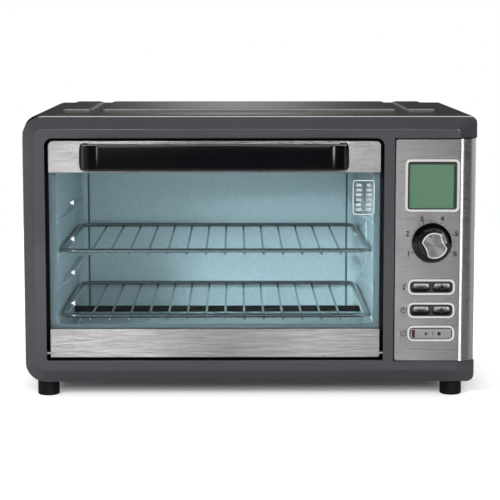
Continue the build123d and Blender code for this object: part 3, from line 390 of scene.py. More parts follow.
# The plate's margin outside the glass is painted shade: it is black where the gap round the door lies in shade.
finish_faces(
    mouth, matt_black_and_painted_shade,
    lambda face: not (edge_left < face.center.x < edge_right and edge_foot < face.center.z < edge_head),
)
sheet = 1.5 * MM
for wall_node, wall_name, inward in (
    ("cavity_left_wall", "left_wall", 1.0), ("cavity_right_wall", "right_wall", -1.0)
):
    low, high = corners(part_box(wall_node))
    wall_face = (low.x if inward > 0.0 else high.x) + inward * sheet
    wall = joined_copy(wall_node, wall_name)
    shape = bmesh.from_edit_mesh(wall.data)
    cut_across(shape, (0.0, low.y + 70.0 * MM, 0.0), (0.0, 1.0, 0.0))
    for vertex in shape.verts:
        if (vertex.co.x - wall_face) * inward > 0.0 and vertex.co.y < low.y + 9.0 * MM:
            vertex.co.x = wall_face
    bmesh.update_edit_mesh(wall.data)
    finish_piece(wall, aluminised, "oven_body", "cavity_sheet", wall_node)
finish_nodes(aluminised, "cavity_rear_wall", "cavity_ceiling", "cavity_floor", "fan_cover", "crumb_tray")
rear_low, rear_high = corners(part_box("cavity_rear_wall"))
corner_radius, seam_radius = 14.0 * MM, 1.2 * MM
# Beads down the rear corners: their dark enamel is a painted shade line along each corner.
for name, across in (
    ("left_rear_seam", rear_low.x + corner_radius), ("right_rear_seam", rear_high.x - corner_radius)
):
    bpy.ops.object.select_all(action="DESELECT")
    bpy.ops.mesh.primitive_cylinder_add(
        vertices=16, radius=seam_radius, depth=rear_high.z - rear_low.z - 6.0 * MM,
        location=(across, rear_high.y - sheet, (rear_low.z + rear_high.z) / 2.0),
    )
    seam = bpy.context.active_object
    seam.name = name
    bpy.ops.object.mode_set(mode="EDIT")
    bevel_sharp(seam, 0.5 * MM, 2, lambda at: True, sharp=60.0)
    finish_piece(seam, mouth_enamel, "oven_body", "cavity_sheet")


# Heating rods: two above and two below, metal sheaths turned brown-black by heat, each held at both
# ends by a cast ceramic block in the side wall.
rod_sheath = moulded_finish(
    "heated sheath", (0.004, 0.003, 0.002), (0.014, 0.009, 0.006), (0.45, 0.6), 1200.0, 0.2, cloud=60.0,
    Specular_IOR_Level=0.3,
)
steatite = moulded_finish(
    "steatite", (0.66, 0.63, 0.57), (0.76, 0.74, 0.69), (0.5, 0.7), 900.0, 0.25, cloud=150.0
)
finish_nodes(rod_sheath, "upper_heating_elements", "lower_heating_elements")
finish_nodes(steatite, "heater_insulators")


# Convection fan: a pressed aluminium rotor that turns in a pan behind the cavity's right wall, under a
# slotted guard. Its motor, with a stack of steel sheets, sits on the back of the pan.


def lamination_finish():
    """The edges of the motor's stacked sheets: fine bands across its depth."""
    made, tree, shader, place = start_finish("stacked laminations", Metallic=0.8)
    turned = add_node(tree, "Mapping", {"Vector": place, "Scale": (1000.0, 1.0, 1.0)})
    waves = {"Vector": turned.outputs["Vector"], "Scale": 0.3, "Distortion": 0.3}
    bands = add_node(tree, "TexWave", waves).outputs["Fac"]
    bump = add_node(tree, "Bump", {"Strength": 0.4, "Distance": 0.2 * MM, "Height": bands})
    dress(tree, shader, bands, bump.outputs["Normal"], (0.13, 0.13, 0.14), (0.32, 0.32, 0.33), (0.3, 0.5))
    return made


fan_aluminium = moulded_finish(
    "fan aluminium", (0.56, 0.57, 0.58), (0.70, 0.71, 0.72), (0.25, 0.4), 1800.0, 0.12, cloud=60.0,
    Metallic=1.0,
)
finish_nodes(fan_aluminium, "fan_rotor")
finish_nodes(lamination_finish(), "fan_motor")


# Racks: chromed steel wire, a rectangular rod frame with closer wires welded under it front to back.
# Each of them lies loose on a pair of ledges in the cavity's walls.
rack_chrome = moulded_finish(
    "rack chrome", (0.30, 0.30, 0.295), (0.40, 0.40, 0.395), (0.10, 0.18), 1500.0, 0.05, cloud=120.0,
    Metallic=1.0,
)
finish_nodes(rack_chrome, "upper_rack", "lower_rack")


# Door: a sheet of toughened glass, tinted blue-green, between two brushed steel bands. It turns on
# pins in brass bushes at its lower corners, and plain printed triangles mark the rack levels.


def calc(tree, kind, first, second=0.0):
    """One step of arithmetic on shader values."""
    return add_node(tree, "Math", {0: first, 1: second}, operation=kind).outputs[0]


def brushed_lines():
    """Shader group: the long fine scratches of brushed steel. Each tilts the surface up or down and
    never sideways, so that lights draw out into upright streaks."""
    group, given, out = start_group(
        "brushed lines",
        [("Vector", "Vector", None), ("Surface", "Vector", None), ("Spread", "Float", 2.0)],
        [("Smear", "Float"), ("Normal", "Vector")],
    )
    fine = add_node(group, "TexNoise", {"Vector": given["Vector"], "Scale": 1.0, "Detail": 2.0})
    wide = add_node(group, "Mapping", {"Vector": given["Vector"], "Scale": (0.6, 0.5, 0.08)})
    smear = add_node(group, "TexNoise", {"Vector": wide.outputs["Vector"], "Scale": 1.0, "Detail": 3.0})
    slope = calc(group, "MULTIPLY", calc(group, "SUBTRACT", fine.outputs["Fac"], 0.5), given["Spread"])
    upward = add_node(group, "CombineXYZ", {"Z": slope})
    tilted = add_node(group, "VectorMath", {0: given["Surface"], 1: upward.outputs[0]}, operation="ADD")
    unit = add_node(group, "VectorMath", {0: tilted.outputs[0]}, operation="NORMALIZE")
    half = (0.5, 0.5, 0.5)
    packed = add_node(group, "VectorMath", {0: unit.outputs[0], 1: half, 2: half}, operation="MULTIPLY_ADD")
    turned = add_node(group, "NormalMap", {"Color": packed.outputs[0]}, space="OBJECT")
    group.links.new(smear.outputs["Fac"], out["Smear"])
    group.links.new(turned.outputs["Normal"], out["Normal"])
    return group


def brushed_finish(name, dark, light, rough, spread):
    """Steel sheet brushed from side to side."""
    made, tree, shader, place = start_finish(name, Metallic=1.0)
    drawn_out = add_node(tree, "Mapping", {"Vector": place, "Scale": (30.0, 400.0, 26000.0)})
    surface = add_node(tree, "TexCoord").outputs["Normal"]
    lines = use_group(
        tree, lines_group, {"Vector": drawn_out.outputs["Vector"], "Surface": surface, "Spread": spread}
    )
    dress(tree, shader, lines["Smear"], lines["Normal"], dark, light, rough)
    return made


def tinted_glass_finish(name, tint, thin_tint, waviness):
    """Clear glass with a tint, which also lets the lamps' light through to what is behind it."""
    made, tree, shader, place = start_finish(
        name, Base_Color=(*tint, 1.0), Transmission_Weight=1.0, IOR=1.15
    )
    smudge = add_node(tree, "TexNoise", {"Vector": place, "Scale": waviness, "Detail": 3.0})
    blend_roughness(tree, shader, smudge.outputs["Fac"], 0.0, 0.02)
    clear = add_node(tree, "BsdfTransparent", {"Color": (*thin_tint, 1.0)})
    shadow = add_node(tree, "LightPath").outputs["Is Shadow Ray"]
    either = add_node(tree, "MixShader", {0: shadow, 1: shader.outputs[0], 2: clear.outputs[0]})
    tree.links.new(either.outputs[0], tree.nodes["Material Output"].inputs["Surface"])
    return made


lines_group = brushed_lines()
door_glass_tint = tinted_glass_finish("door glass tint", (0.76, 0.905, 0.945), (0.84, 0.945, 0.97), 9.0)
finish_nodes(door_glass_tint, "door_glass")
hinge_brass = moulded_finish(
    "hinge brass", (0.52, 0.38, 0.17), (0.66, 0.50, 0.24), (0.25, 0.4), 1800.0, 0.15, cloud=200.0,
    Metallic=1.0,
)
finish_nodes(hinge_brass, "door_hinge_bushes")


def round_front(piece, node, width, rounds):
    """Rounds the edges round a piece's front face, in edit mode."""
    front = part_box(node)[0][1] + 0.2 * MM
    bevel_sharp(piece, width, rounds, lambda at: at.y < front)


door_steel = brushed_finish("door steel", (0.52, 0.515, 0.505), (0.62, 0.615, 0.605), (0.12, 0.17), 2.6)
for band_node, band_name in (("door_top_band", "top_band"), ("door_bottom_band", "bottom_band")):
    band = joined_copy(band_node, band_name)
    round_front(band, band_node, 1.0 * MM, 3)
    finish_piece(band, door_steel, "door", "door_steel", band_node)


def flat_sign(piece, made, body, at, lift=0.0):
    """Turns a flat outline drawn in X and Y into a thin print on an upright face, as a mesh piece."""
    pick(piece)
    if piece.type != "MESH":
        bpy.ops.object.convert(target="MESH")
        piece = bpy.context.view_layer.objects.active
    for vertex in piece.data.vertices:
        across, up, depth = vertex.co
        vertex.co = (at[0] + across, at[1] - depth - lift, at[2] + up)
    piece.location = (0.0, 0.0, 0.0)
    piece.data.materials.clear()
    piece.data.materials.append(made)
    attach(piece, body)


def piece_of(shape, name):
    """Makes a piece of a shape, with its faces turned outwards."""
    bmesh.ops.recalc_face_normals(shape, faces=shape.faces)
    mesh = bpy.data.meshes.new(name)
    shape.to_mesh(mesh)
    shape.free()
    piece = bpy.data.objects.new(name, mesh)
    bpy.context.collection.objects.link(piece)
    return piece


def start_flat(name, outlines, thick):
    """One mesh of flat plates from outlines, lists of points in millimetres going round leftwards."""
    shape = bmesh.new()
    for outline in outlines:
        face = shape.faces.new([shape.verts.new((x * MM, y * MM, 0.0)) for x, y in outline])
        raised = bmesh.ops.extrude_face_region(shape, geom=[face])["geom"]
        upper = [part for part in raised if isinstance(part, bmesh.types.BMVert)]
        bmesh.ops.translate(shape, vec=(0.0, 0.0, thick), verts=upper)
    return piece_of(shape, name)


glass_print = moulded_finish(
    "glass print", (0.72, 0.73, 0.73), (0.80, 0.81, 0.81), (0.4, 0.5), 1500.0, 0.05, cloud=300.0
)
glass_low, glass_high = corners(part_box("door_glass"))
ink_thick = 0.1 * MM
triangle = [(-2.4, 0.0), (2.4, -3.1), (2.4, 3.1)]
for count, height in enumerate((115.0, 151.0, 190.0, 232.0)):
    level_mark = start_flat(f"level_mark_{count + 1}", [triangle], ink_thick)
    mark_at = (glass_low.x + 26.0 * MM, glass_low.y, height * MM)
    flat_sign(level_mark, glass_print, "door", mark_at)


# Printed temperature scale: a rounded border round two columns of plain numbers, in the same pale
# enamel as the triangles. It is fired on to the face of the glass.


def rounded_line(width, height, corner, inset):
    """Points round a rounded rectangle drawn in by an inset, ended just short of where they began."""
    points = []
    for quarter, (sx, sy) in enumerate(((1, 1), (-1, 1), (-1, -1), (1, -1))):
        middle_x, middle_y = sx * (width / 2 - corner), sy * (height / 2 - corner)
        for step in range(7):
            turn = radians(90.0 * quarter + 15.0 * step)
            reach = corner - inset
            points.append((middle_x + reach * cos(turn), middle_y + reach * sin(turn)))
    points.append((points[0][0], points[0][1] - 0.02))
    return points


def figures(name, words, size, swell, spacing=1.0):
    """Plain figures centred on the origin, as thin raised text."""
    bpy.ops.object.text_add(location=(0.0, 0.0, 0.0))
    made = bpy.context.active_object
    made.name = name
    made.data.body = words
    made.data.size = size
    made.data.space_line = spacing
    made.data.offset = swell
    made.data.extrude = ink_thick / 2.0
    made.data.align_x = "CENTER"
    made.data.align_y = "CENTER"
    return made


scale_at = Vector((glass_high.x - 18.8 * MM, glass_low.y, glass_high.z - 63.3 * MM))
border = (25.0, 40.0, 3.4)
border_line = rounded_line(*border, 0.0) + rounded_line(*border, 0.9)[::-1]
scale_border = start_flat("scale_border", [border_line], ink_thick)
flat_sign(scale_border, glass_print, "door", scale_at)
for column, (across, words) in enumerate(
    ((-5.8, "200\n250\n300\n350\n400\n450"), (5.8, "95\n120\n150\n175\n205\n230"))
):
    scale_column = figures(f"scale_column_{column + 1}", words, 4.4 * MM, 0.10 * MM, spacing=1.28)
    column_at = scale_at + Vector((across * MM, 0.0, 0.0))
    flat_sign(scale_column, glass_print, "door", column_at, ink_thick / 2.0)


# Handle: a black gloss bar bowed out from the top band and matt on its upper side, its rounded ends
# set into bright plated crescents. Two screws inside the door hold it through the band and the glass.
handle_gloss = moulded_finish(
    "handle gloss", (0.0012, 0.0012, 0.002), (0.002, 0.002, 0.0032), (0.09, 0.14), 1300.0, 0.02, cloud=9.0,
    Specular_IOR_Level=0.5, Coat_Weight=0.3, Coat_Roughness=0.05,
)
bright_plate = moulded_finish(
    "bright plate", (0.80, 0.80, 0.79), (0.88, 0.88, 0.87), (0.07, 0.13), 1500.0, 0.03, cloud=90.0,
    Metallic=0.4,
)
handle_low, handle_high = corners(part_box("door_handle"))
handle = joined_copy("door_handle", "handle_bar")
shape = bmesh.from_edit_mesh(handle.data)
handle_up, handle_half = (handle_low.z + handle_high.z) / 2.0, (handle_high.z - handle_low.z) / 2.0
for share in (-0.8, -0.6, -0.4, -0.2, 0.0, 0.2, 0.4, 0.6, 0.8):
    cut_across(shape, (0.0, 0.0, handle_up + share * handle_half), (0.0, 0.0, 1.0))
crown = 0.35 * MM
for vertex in shape.verts:
    ahead = (handle_high.y - vertex.co.y) / (handle_high.y - handle_low.y)
    vertex.co.y += crown * ahead * ((vertex.co.z - handle_up) / handle_half) ** 2
bmesh.update_edit_mesh(handle.data)
bevel_sharp(handle, 0.7 * MM, 4, lambda at: abs(at.z - handle_up) > 0.97 * handle_half)
finish_piece(handle, handle_gloss, "door", "handle_black", "door_handle")
finish_faces(handle, matt_black_and_painted_shade, lambda face: face.normal.z > 0.9)
trims = joined_copy("handle_end_trims", "handle_crescents")
round_front(trims, "handle_end_trims", 0.7 * MM, 4)
finish_piece(trims, bright_plate, "door", "bright_trim", "handle_end_trims")


# Control panel: a skin of brushed steel over the moulded carrier. Its right-hand side is rolled back
# round the corner of the frame, and its other edges have a fine bright break.
panel_steel = brushed_finish("panel steel", (0.50, 0.50, 0.495), (0.59, 0.59, 0.58), (0.12, 0.17), 2.6)
panel_low = Vector(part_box("control_panel")[0])
panel_skin = joined_copy("control_panel", "panel_skin")
bevel_sharp(
    panel_skin, 3.2 * MM, 5, lambda at: at.x < panel_low.x + 0.1 * MM and at.y > panel_low.y + 0.1 * MM
)
round_front(panel_skin, "control_panel", 1.2 * MM, 4)
finish_piece(panel_skin, panel_steel, "oven_body", "panel_steel", "control_panel")


# Display: a plated rim with a clear window, and behind it a liquid-crystal module whose green face
# sits in a black surround, shown wider at the top and right as painted shade from the rim.


def crystal_finish():
    """The unlit green of a liquid-crystal face, with its faint grid of cells."""
    made, tree, shader, place = start_finish("liquid crystal", Specular_IOR_Level=0.3)
    grid = add_node(tree, "TexBrick", {"Vector": place, "Scale": 900.0, "Mortar Size": 0.03}, offset=0.0)
    cloud = add_node(tree, "TexNoise", {"Vector": place, "Scale": 20.0, "Detail": 2.0})
    tone = calc(tree, "SUBTRACT", cloud.outputs["Fac"], calc(tree, "MULTIPLY", grid.outputs["Fac"], 0.25))
    blend_colours(tree, shader, tone, (0.062, 0.117, 0.077), (0.073, 0.135, 0.089))
    blend_roughness(tree, shader, cloud.outputs["Fac"], 0.35, 0.45)
    return made


window_clear = tinted_glass_finish("window clear", (0.93, 0.97, 0.94), (0.95, 0.98, 0.96), 20.0)
module_black = moulded_finish(
    "module black", (0.012, 0.014, 0.013), (0.020, 0.023, 0.021), (0.4, 0.5), 1500.0, 0.1, cloud=60.0
)
finish_nodes(window_clear, "display_window")
finish_nodes(module_black, "lcd_module")
rim = joined_copy("display_bezel", "display_rim")
round_front(rim, "display_bezel", 1.2 * MM, 5)
finish_piece(rim, bright_plate, "oven_body", "bright_trim", "display_bezel")
window_low, window_high = corners(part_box("display_window"))
window_size = window_high - window_low
crystal_thick = 0.7 * MM
# The green face is set low and to the left, so that the black surround shows wider at its top and right as
# painted shade from the rim.
crystal_at = middle_of(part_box("display_window")) - Vector((1.1, 0.0, 1.2)) * MM
crystal_at.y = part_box("lcd_module")[0][1] - crystal_thick / 2.0
bpy.ops.object.select_all(action="DESELECT")
bpy.ops.mesh.primitive_cube_add(size=1.0, location=crystal_at)
crystal = bpy.context.active_object
crystal.name = "display_face"
crystal.dimensions = (window_size.x - 4.8 * MM, crystal_thick, window_size.z - 4.2 * MM)
bpy.ops.object.transform_apply(location=True, rotation=True, scale=True)
bpy.ops.object.mode_set(mode="EDIT")
bpy.ops.mesh.select_all(action="SELECT")
bpy.ops.mesh.bevel(offset=0.25 * MM, segments=2)
finish_piece(crystal, crystal_finish(), "oven_body", "display_module")


# Selector knob: dark plated, a sloping skirt and a grip with two flats and a pointer notch. It sits
# on the encoder's shaft, over a printed dial of plain numbers and ticks.
knob_chrome = moulded_finish(
    "knob chrome", (0.07, 0.07, 0.073), (0.10, 0.10, 0.103), (0.06, 0.10), 1700.0, 0.04, cloud=50.0,
    Metallic=1.0,
)
grip_black = moulded_finish(
    "grip black", (0.010, 0.010, 0.011), (0.018, 0.018, 0.019), (0.12, 0.2), 1700.0, 0.04, Coat_Weight=0.3
)
grip_face = moulded_finish(
    "grip face", (0.30, 0.30, 0.302), (0.38, 0.38, 0.382), (0.32, 0.4), 1700.0, 0.06, cloud=40.0,
    Metallic=1.0, Anisotropic=0.85,
)
spun = add_node(grip_face.node_tree, "Tangent", direction_type="RADIAL", axis="Y")
grip_face.node_tree.links.new(
    spun.outputs["Tangent"], grip_face.node_tree.nodes["Principled BSDF"].inputs["Tangent"]
)
knob_low, knob_high = corners(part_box("selector_knob"))
knob_axis = middle_of(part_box("selector_knob"))
knob_back, knob_front = knob_high.y, knob_low.y
knob_steps = 96
grip_turn = radians(24.0)


def grip_reach(turn):
    """Half-width of the grip at an angle from its flats' line: a disc with two hollowed sides."""
    radius, hollow, middle = 14.8 * MM, 28.0 * MM, 38.8 * MM
    fold = abs((turn - grip_turn + pi / 2.0) % pi - pi / 2.0)
    inside = hollow**2 - (middle * sin(fold)) ** 2
    if inside > 0.0:
        return min(radius, middle * cos(fold) - inside**0.5)
    return radius


def knob_ring(shape, depth, reach):
    """One ring of points round the knob's axis at a depth, with its reach given for each angle."""
    ring = []
    for step in range(knob_steps):
        turn = 2.0 * pi * step / knob_steps
        out = reach(turn)
        ring.append(shape.verts.new((knob_axis.x + out * cos(turn), depth, knob_axis.z + out * sin(turn))))
    return ring


skirt_reach = (knob_high.x - knob_low.x) / 2.0
shape = bmesh.new()
rings = [knob_ring(shape, knob_back, lambda turn: skirt_reach - 1.6 * MM)]
skirt_steps = (
    (0.0, 0.5), (0.5, 0.1), (1.6, 0.0), (2.6, 0.3), (3.3, 1.2), (5.2, 4.2), (7.4, 6.2), (9.0, 6.9)
)
grip_steps = ((9.6, 1.0), (10.6, 0.55), (13.0, 0.35), (20.0, 0.15))
for back, out in skirt_steps:
    rings.append(knob_ring(shape, knob_back - back * MM, lambda turn: skirt_reach - out * MM))
for back, swell in grip_steps:
    rings.append(knob_ring(shape, knob_back - back * MM, lambda turn: grip_reach(turn) + swell * MM))
bead = 0.75
for step in range(7):
    back, shrink = bead * (1.0 - sin(pi * step / 6.0)), bead * (1.0 - cos(pi * step / 6.0))
    rings.append(knob_ring(shape, knob_front + back * MM, lambda turn: grip_reach(turn) - shrink * MM))
for near, far in zip(rings, rings[1:]):
    for step in range(knob_steps):
        shape.faces.new((near[step - 1], near[step], far[step], far[step - 1]))
shape.faces.new(rings[0])
shape.faces.new(reversed(rings[-1]))
knob = piece_of(shape, "dial_knob")
finish_piece(knob, knob_chrome, "knob", "knob_plating", "selector_knob")
face_depth, bead_depth = knob_front + bead * 1.1 * MM, knob_front + bead * MM
finish_faces(knob, grip_black, lambda face: face.center.y < knob_back - 8.5 * MM)
finish_faces(knob, grip_face, lambda face: face.center.y < face_depth and len(face.vertices) > 4)
finish_faces(knob, bright_plate, lambda face: face.center.y < bead_depth and len(face.vertices) == 4)
notch_way = grip_turn + pi / 2.0
dial_ink = moulded_finish("dial ink", (0.008, 0.008, 0.009), (0.014, 0.014, 0.015), (0.45, 0.6), 1500.0, 0.1)
notch_side = Vector((-sin(notch_way), cos(notch_way))) * 0.8
inner, outer = (Vector((cos(notch_way), sin(notch_way))) * reach for reach in (10.6, 14.0))
notch_outline = [inner - notch_side, outer - notch_side, outer + notch_side, inner + notch_side]
notch = start_flat("pointer_notch", [notch_outline], 0.5 * MM)
flat_sign(notch, dial_ink, "knob", (knob_axis.x, bead_depth, knob_axis.z))
dial_start, dial_radius = 206.0, 30.0 * MM
for count in range(6):
    turn = radians(dial_start - 46.4 * count)
    number = figures(f"dial_number_{count + 1}", str(count + 1), 8.4 * MM, 0.26 * MM)
    number_at = (knob_axis.x + dial_radius * cos(turn), panel_low.y, knob_axis.z + dial_radius * sin(turn))
    flat_sign(number, dial_ink, "oven_body", number_at, ink_thick / 2.0)
ticks = []
for count in range(16):
    turn = radians(dial_start - 15.47 * count)
    along = Vector((cos(turn), sin(turn)))
    side = Vector((-sin(turn), cos(turn))) * 0.45
    near, far = along * 24.2, along * (25.6 if count % 3 else 26.6)
    ticks.append([near - side, far - side, far + side, near + side])
dial_ticks = start_flat("dial_ticks", ticks, ink_thick)
flat_sign(dial_ticks, dial_ink, "oven_body", (knob_axis.x, panel_low.y, knob_axis.z))


# Buttons: plated pillows with rounded ends in bright rims, a minus and a plus for temperature and
# for time, and one long start button with a dark red lamp. Each presses on a switch on the board.


def soft_step(tree, value, low, high):
    """Rises smoothly from none to all between two values."""
    sockets = {"Value": value, "From Min": low, "From Max": high}
    return add_node(tree, "MapRange", sockets, interpolation_type="SMOOTHSTEP").outputs["Result"]


def crown_button(node, name, rise):
    """A button's cap cut back to its rim and crowned in rings, as one closed piece."""
    cap = joined_copy(node, name)
    bpy.ops.mesh.select_all(action="SELECT")
    bpy.ops.mesh.bisect(
        plane_co=(0.0, panel_low.y + 0.3 * MM, 0.0), plane_no=(0.0, -1.0, 0.0),
        use_fill=True, clear_outer=True, clear_inner=False,
    )
    bpy.ops.mesh.select_mode(type="FACE")
    for across, out in ((0.25, 0.42), (0.35, 0.26), (0.6, 0.18), (0.9, 0.10), (1.1, 0.04)):
        bpy.ops.mesh.inset(thickness=across * MM, depth=out * rise)
    bpy.ops.mesh.select_all(action="DESELECT")
    return cap


def painted_shade_button_finish():
    """A pillow button's plating with painted shade: bright above, and black along its lower edge where the
    lower half lies in shade. The rows are evenly spaced, so one finish serves them all."""
    made, tree, shader, place = start_finish("button with painted shade", Metallic=0.8, Coat_Weight=0.3)
    row_up = middle_of(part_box("start_button")).z
    pitch = middle_of(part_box("time_down_button")).z - row_up
    up = add_node(tree, "SeparateXYZ", {"Vector": place}).outputs["Z"]
    within = calc(tree, "MODULO", calc(tree, "SUBTRACT", up, row_up - pitch / 2.0), pitch)
    # Painted shade: the colour turns black over each cap's lower part, which lies in shade.
    lip = soft_step(tree, within, pitch / 2.0 - 2.3 * MM, pitch / 2.0 + 3.4 * MM)
    skin = use_group(tree, skin_group, {"Vector": place, "Grain": 1600.0, "Depth": 0.04, "Cloud": 60.0})
    blend_colours(tree, shader, lip, (0.005, 0.005, 0.006), (0.46, 0.46, 0.465))
    blend_roughness(tree, shader, skin["Mottle"], 0.2, 0.3)
    tree.links.new(skin["Normal"], shader.inputs["Normal"])
    return made


button_plate_painted_shade = painted_shade_button_finish()
start_plate = moulded_finish(
    "start plate", (0.52, 0.52, 0.51), (0.60, 0.60, 0.59), (0.2, 0.3), 1600.0, 0.04, cloud=60.0, Metallic=0.9
)
lamp_lens = moulded_finish(
    "lamp lens", (0.045, 0.004, 0.006), (0.085, 0.008, 0.011), (0.15, 0.25), 900.0, 0.05, cloud=200.0,
    Coat_Weight=0.5,
)
recess_painted_shade = moulded_finish(
    "recess painted shade", (0.045, 0.045, 0.047), (0.065, 0.065, 0.067), (0.3, 0.4), 1500.0, 0.08, cloud=40.0,
    Metallic=0.6,
)
for bezel in ("temperature_bezel", "time_bezel", "start_bezel"):
    ring = joined_copy(bezel, bezel.replace("bezel", "rim"))
    round_front(ring, bezel, 0.8 * MM, 4)
    finish_piece(ring, bright_plate, "oven_body", "bright_trim", bezel)
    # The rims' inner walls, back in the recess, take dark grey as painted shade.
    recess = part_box(bezel)[0][1] + 0.9 * MM
    finish_faces(ring, recess_painted_shade, lambda face: face.center.y > recess)


def plate(middle_x, middle_y, width, height):
    """Outline of an upright rectangle about its middle."""
    return [
        (middle_x + across * width / 2.0, middle_y + up * height / 2.0)
        for across, up in ((-1, -1), (1, -1), (1, 1), (-1, 1))
    ]


minus = [plate(0.0, 0.0, 8.4, 1.8)]
plus = minus + [plate(0.0, 0.0, 1.9, 6.8)]
for body, sign in (
    ("temperature_down", minus), ("temperature_up", plus), ("time_down", minus), ("time_up", plus)
):
    cap = crown_button(body + "_button", body + "_cap", 2.5 * MM)
    finish_piece(cap, button_plate_painted_shade, body, "button_grey", body + "_button")
    mark = start_flat(body + "_mark", sign, 0.25 * MM)
    mark_at = middle_of(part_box(body + "_button"))
    mark_at.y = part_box(body + "_button")[0][1] + 0.1 * MM
    flat_sign(mark, dial_ink, body, mark_at)
start_cap = joined_copy("start_button", "start_cap")
start_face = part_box("start_button")[0][1]
lens_low, lens_high = corners(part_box("start_indicator"))
lens_gap = 0.6 * MM


def on_start_rim(at):
    """True on the start button's front edges, apart from those round its lamp."""
    by_lens = (
        lens_low.x - lens_gap < at.x < lens_high.x + lens_gap and
        lens_low.z - lens_gap < at.z < lens_high.z + lens_gap
    )
    return at.y < start_face + 0.2 * MM and not by_lens


bevel_sharp(start_cap, 0.8 * MM, 4, on_start_rim)
finish_piece(start_cap, start_plate, "start", "button_grey", "start_button")
finish_nodes(lamp_lens, "start_indicator")
finish_nodes(dial_ink, "button_switches", "encoder_body", "power_components")


# Printed signs: a thermometer, a clock and a power sign beside the rows, in dark ink on the steel, and
# a start and stop sign in the same ink on the start button's cap.


def arc_band(middle, radius, width, start, end):
    """Outline of a band that follows part of a circle, with its ends square."""
    turns = [radians(start + (end - start) * step / 40.0) for step in range(41)]
    outer, inner = (
        [(middle[0] + reach * cos(turn), middle[1] + reach * sin(turn)) for turn in turns]
        for reach in (radius + width / 2, radius - width / 2)
    )
    return outer + inner[::-1]


def stroke(start, end, width):
    """Outline of a straight stroke."""
    start, end = Vector(start), Vector(end)
    side = (end - start).orthogonal().normalized() * width / 2.0
    return [start - side, end - side, end + side, start + side]


line = 0.95
signs = {
    "temperature": [
        arc_band((0.0, -2.2), 0.7, 1.3, 0.0, 359.0),
        stroke((0.0, -1.4), (0.0, 3.4), 1.1),
        stroke((1.2, 2.9), (2.2, 2.9), 0.6),
        stroke((1.2, 1.4), (2.2, 1.4), 0.6),
    ],
    "time": [
        arc_band((0.0, 0.0), 3.2, line, 0.0, 359.0),
        stroke((0.0, -0.3), (0.0, 2.2), line),
        stroke((0.3, 0.0), (-1.6, 0.0), line),
    ],
    "start": [
        arc_band((0.0, 0.0), 3.1, line, 120.0, 420.0),
        stroke((0.0, 0.6), (0.0, 3.6), line),
    ],
}
for row, outlines in signs.items():
    sign_at = (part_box(row + "_bezel")[0][0] - 4.4 * MM, panel_low.y, middle_of(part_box(row + "_bezel")).z)
    row_sign = start_flat(row + "_sign", outlines, ink_thick)
    flat_sign(row_sign, dial_ink, "oven_body", sign_at)
start_at = middle_of(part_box("start_button")) + Vector((2.0 * MM, 0.0, 0.0))
start_at.y = start_face
play = [(-9.0, -2.0), (-5.4, 0.0), (-9.0, 2.0)]
start_signs = [play, plate(0.0, 0.0, 0.6, 4.4), plate(7.3, 0.0, 3.8, 3.8)]
flat_sign(start_flat("start_mark", start_signs, ink_thick), dial_ink, "start", start_at)


# Boards behind the panel: green epoxy with printed tracks. One stands behind the buttons and one lies
# on posts over the base, and a flat ribbon cable joins them.


def board_finish():
    """A green board with its tracks and pads showing through the varnish."""
    made, tree, shader, place = start_finish("board varnish", Coat_Weight=0.4, Coat_Roughness=0.15)
    tracks = add_node(tree, "TexBrick", {"Vector": place, "Scale": 60.0, "Mortar Size": 0.04})
    pads = add_node(tree, "TexVoronoi", {"Vector": place, "Scale": 180.0}, distance="CHEBYCHEV")
    copper = calc(tree, "MULTIPLY", tracks.outputs["Fac"], pads.outputs["Distance"])
    blend_colours(tree, shader, copper, (0.012, 0.075, 0.030), (0.10, 0.24, 0.09))
    blend_roughness(tree, shader, copper, 0.3, 0.5)
    return made


def ribbon_finish():
    """A flat cable's separate grey cores."""
    made, tree, shader, place = start_finish("ribbon cores")
    cores = add_node(tree, "TexWave", {"Vector": place, "Scale": 250.0}, bands_direction="X")
    blend_colours(tree, shader, cores.outputs["Fac"], (0.20, 0.20, 0.21), (0.45, 0.45, 0.46))
    blend_roughness(tree, shader, cores.outputs["Fac"], 0.45, 0.6)
    return made


finish_nodes(board_finish(), "control_board", "power_board")
finish_nodes(ribbon_finish(), "ribbon_cable")


# Studio: a pale floor that keeps the oven's shadow, against white. Soft lamps stand in front at both
# sides, above and behind, and a narrow beam from the left lights the cavity through the glass. The
# soft boxes that metal and glass mirror are in the world alone.


def masked(tree, light, value, low, high):
    """A light that comes up smoothly between two values."""
    return calc(tree, "MULTIPLY", soft_step(tree, value, low, high), light)


def hump(tree, value, at, width, height):
    """A soft round peak of a height and width about a value."""
    away = calc(tree, "DIVIDE", calc(tree, "SUBTRACT", value, at), width)
    fall = calc(tree, "MULTIPLY", calc(tree, "MULTIPLY", away, away), -1.0)
    return calc(tree, "MULTIPLY", calc(tree, "EXPONENT", fall), height)


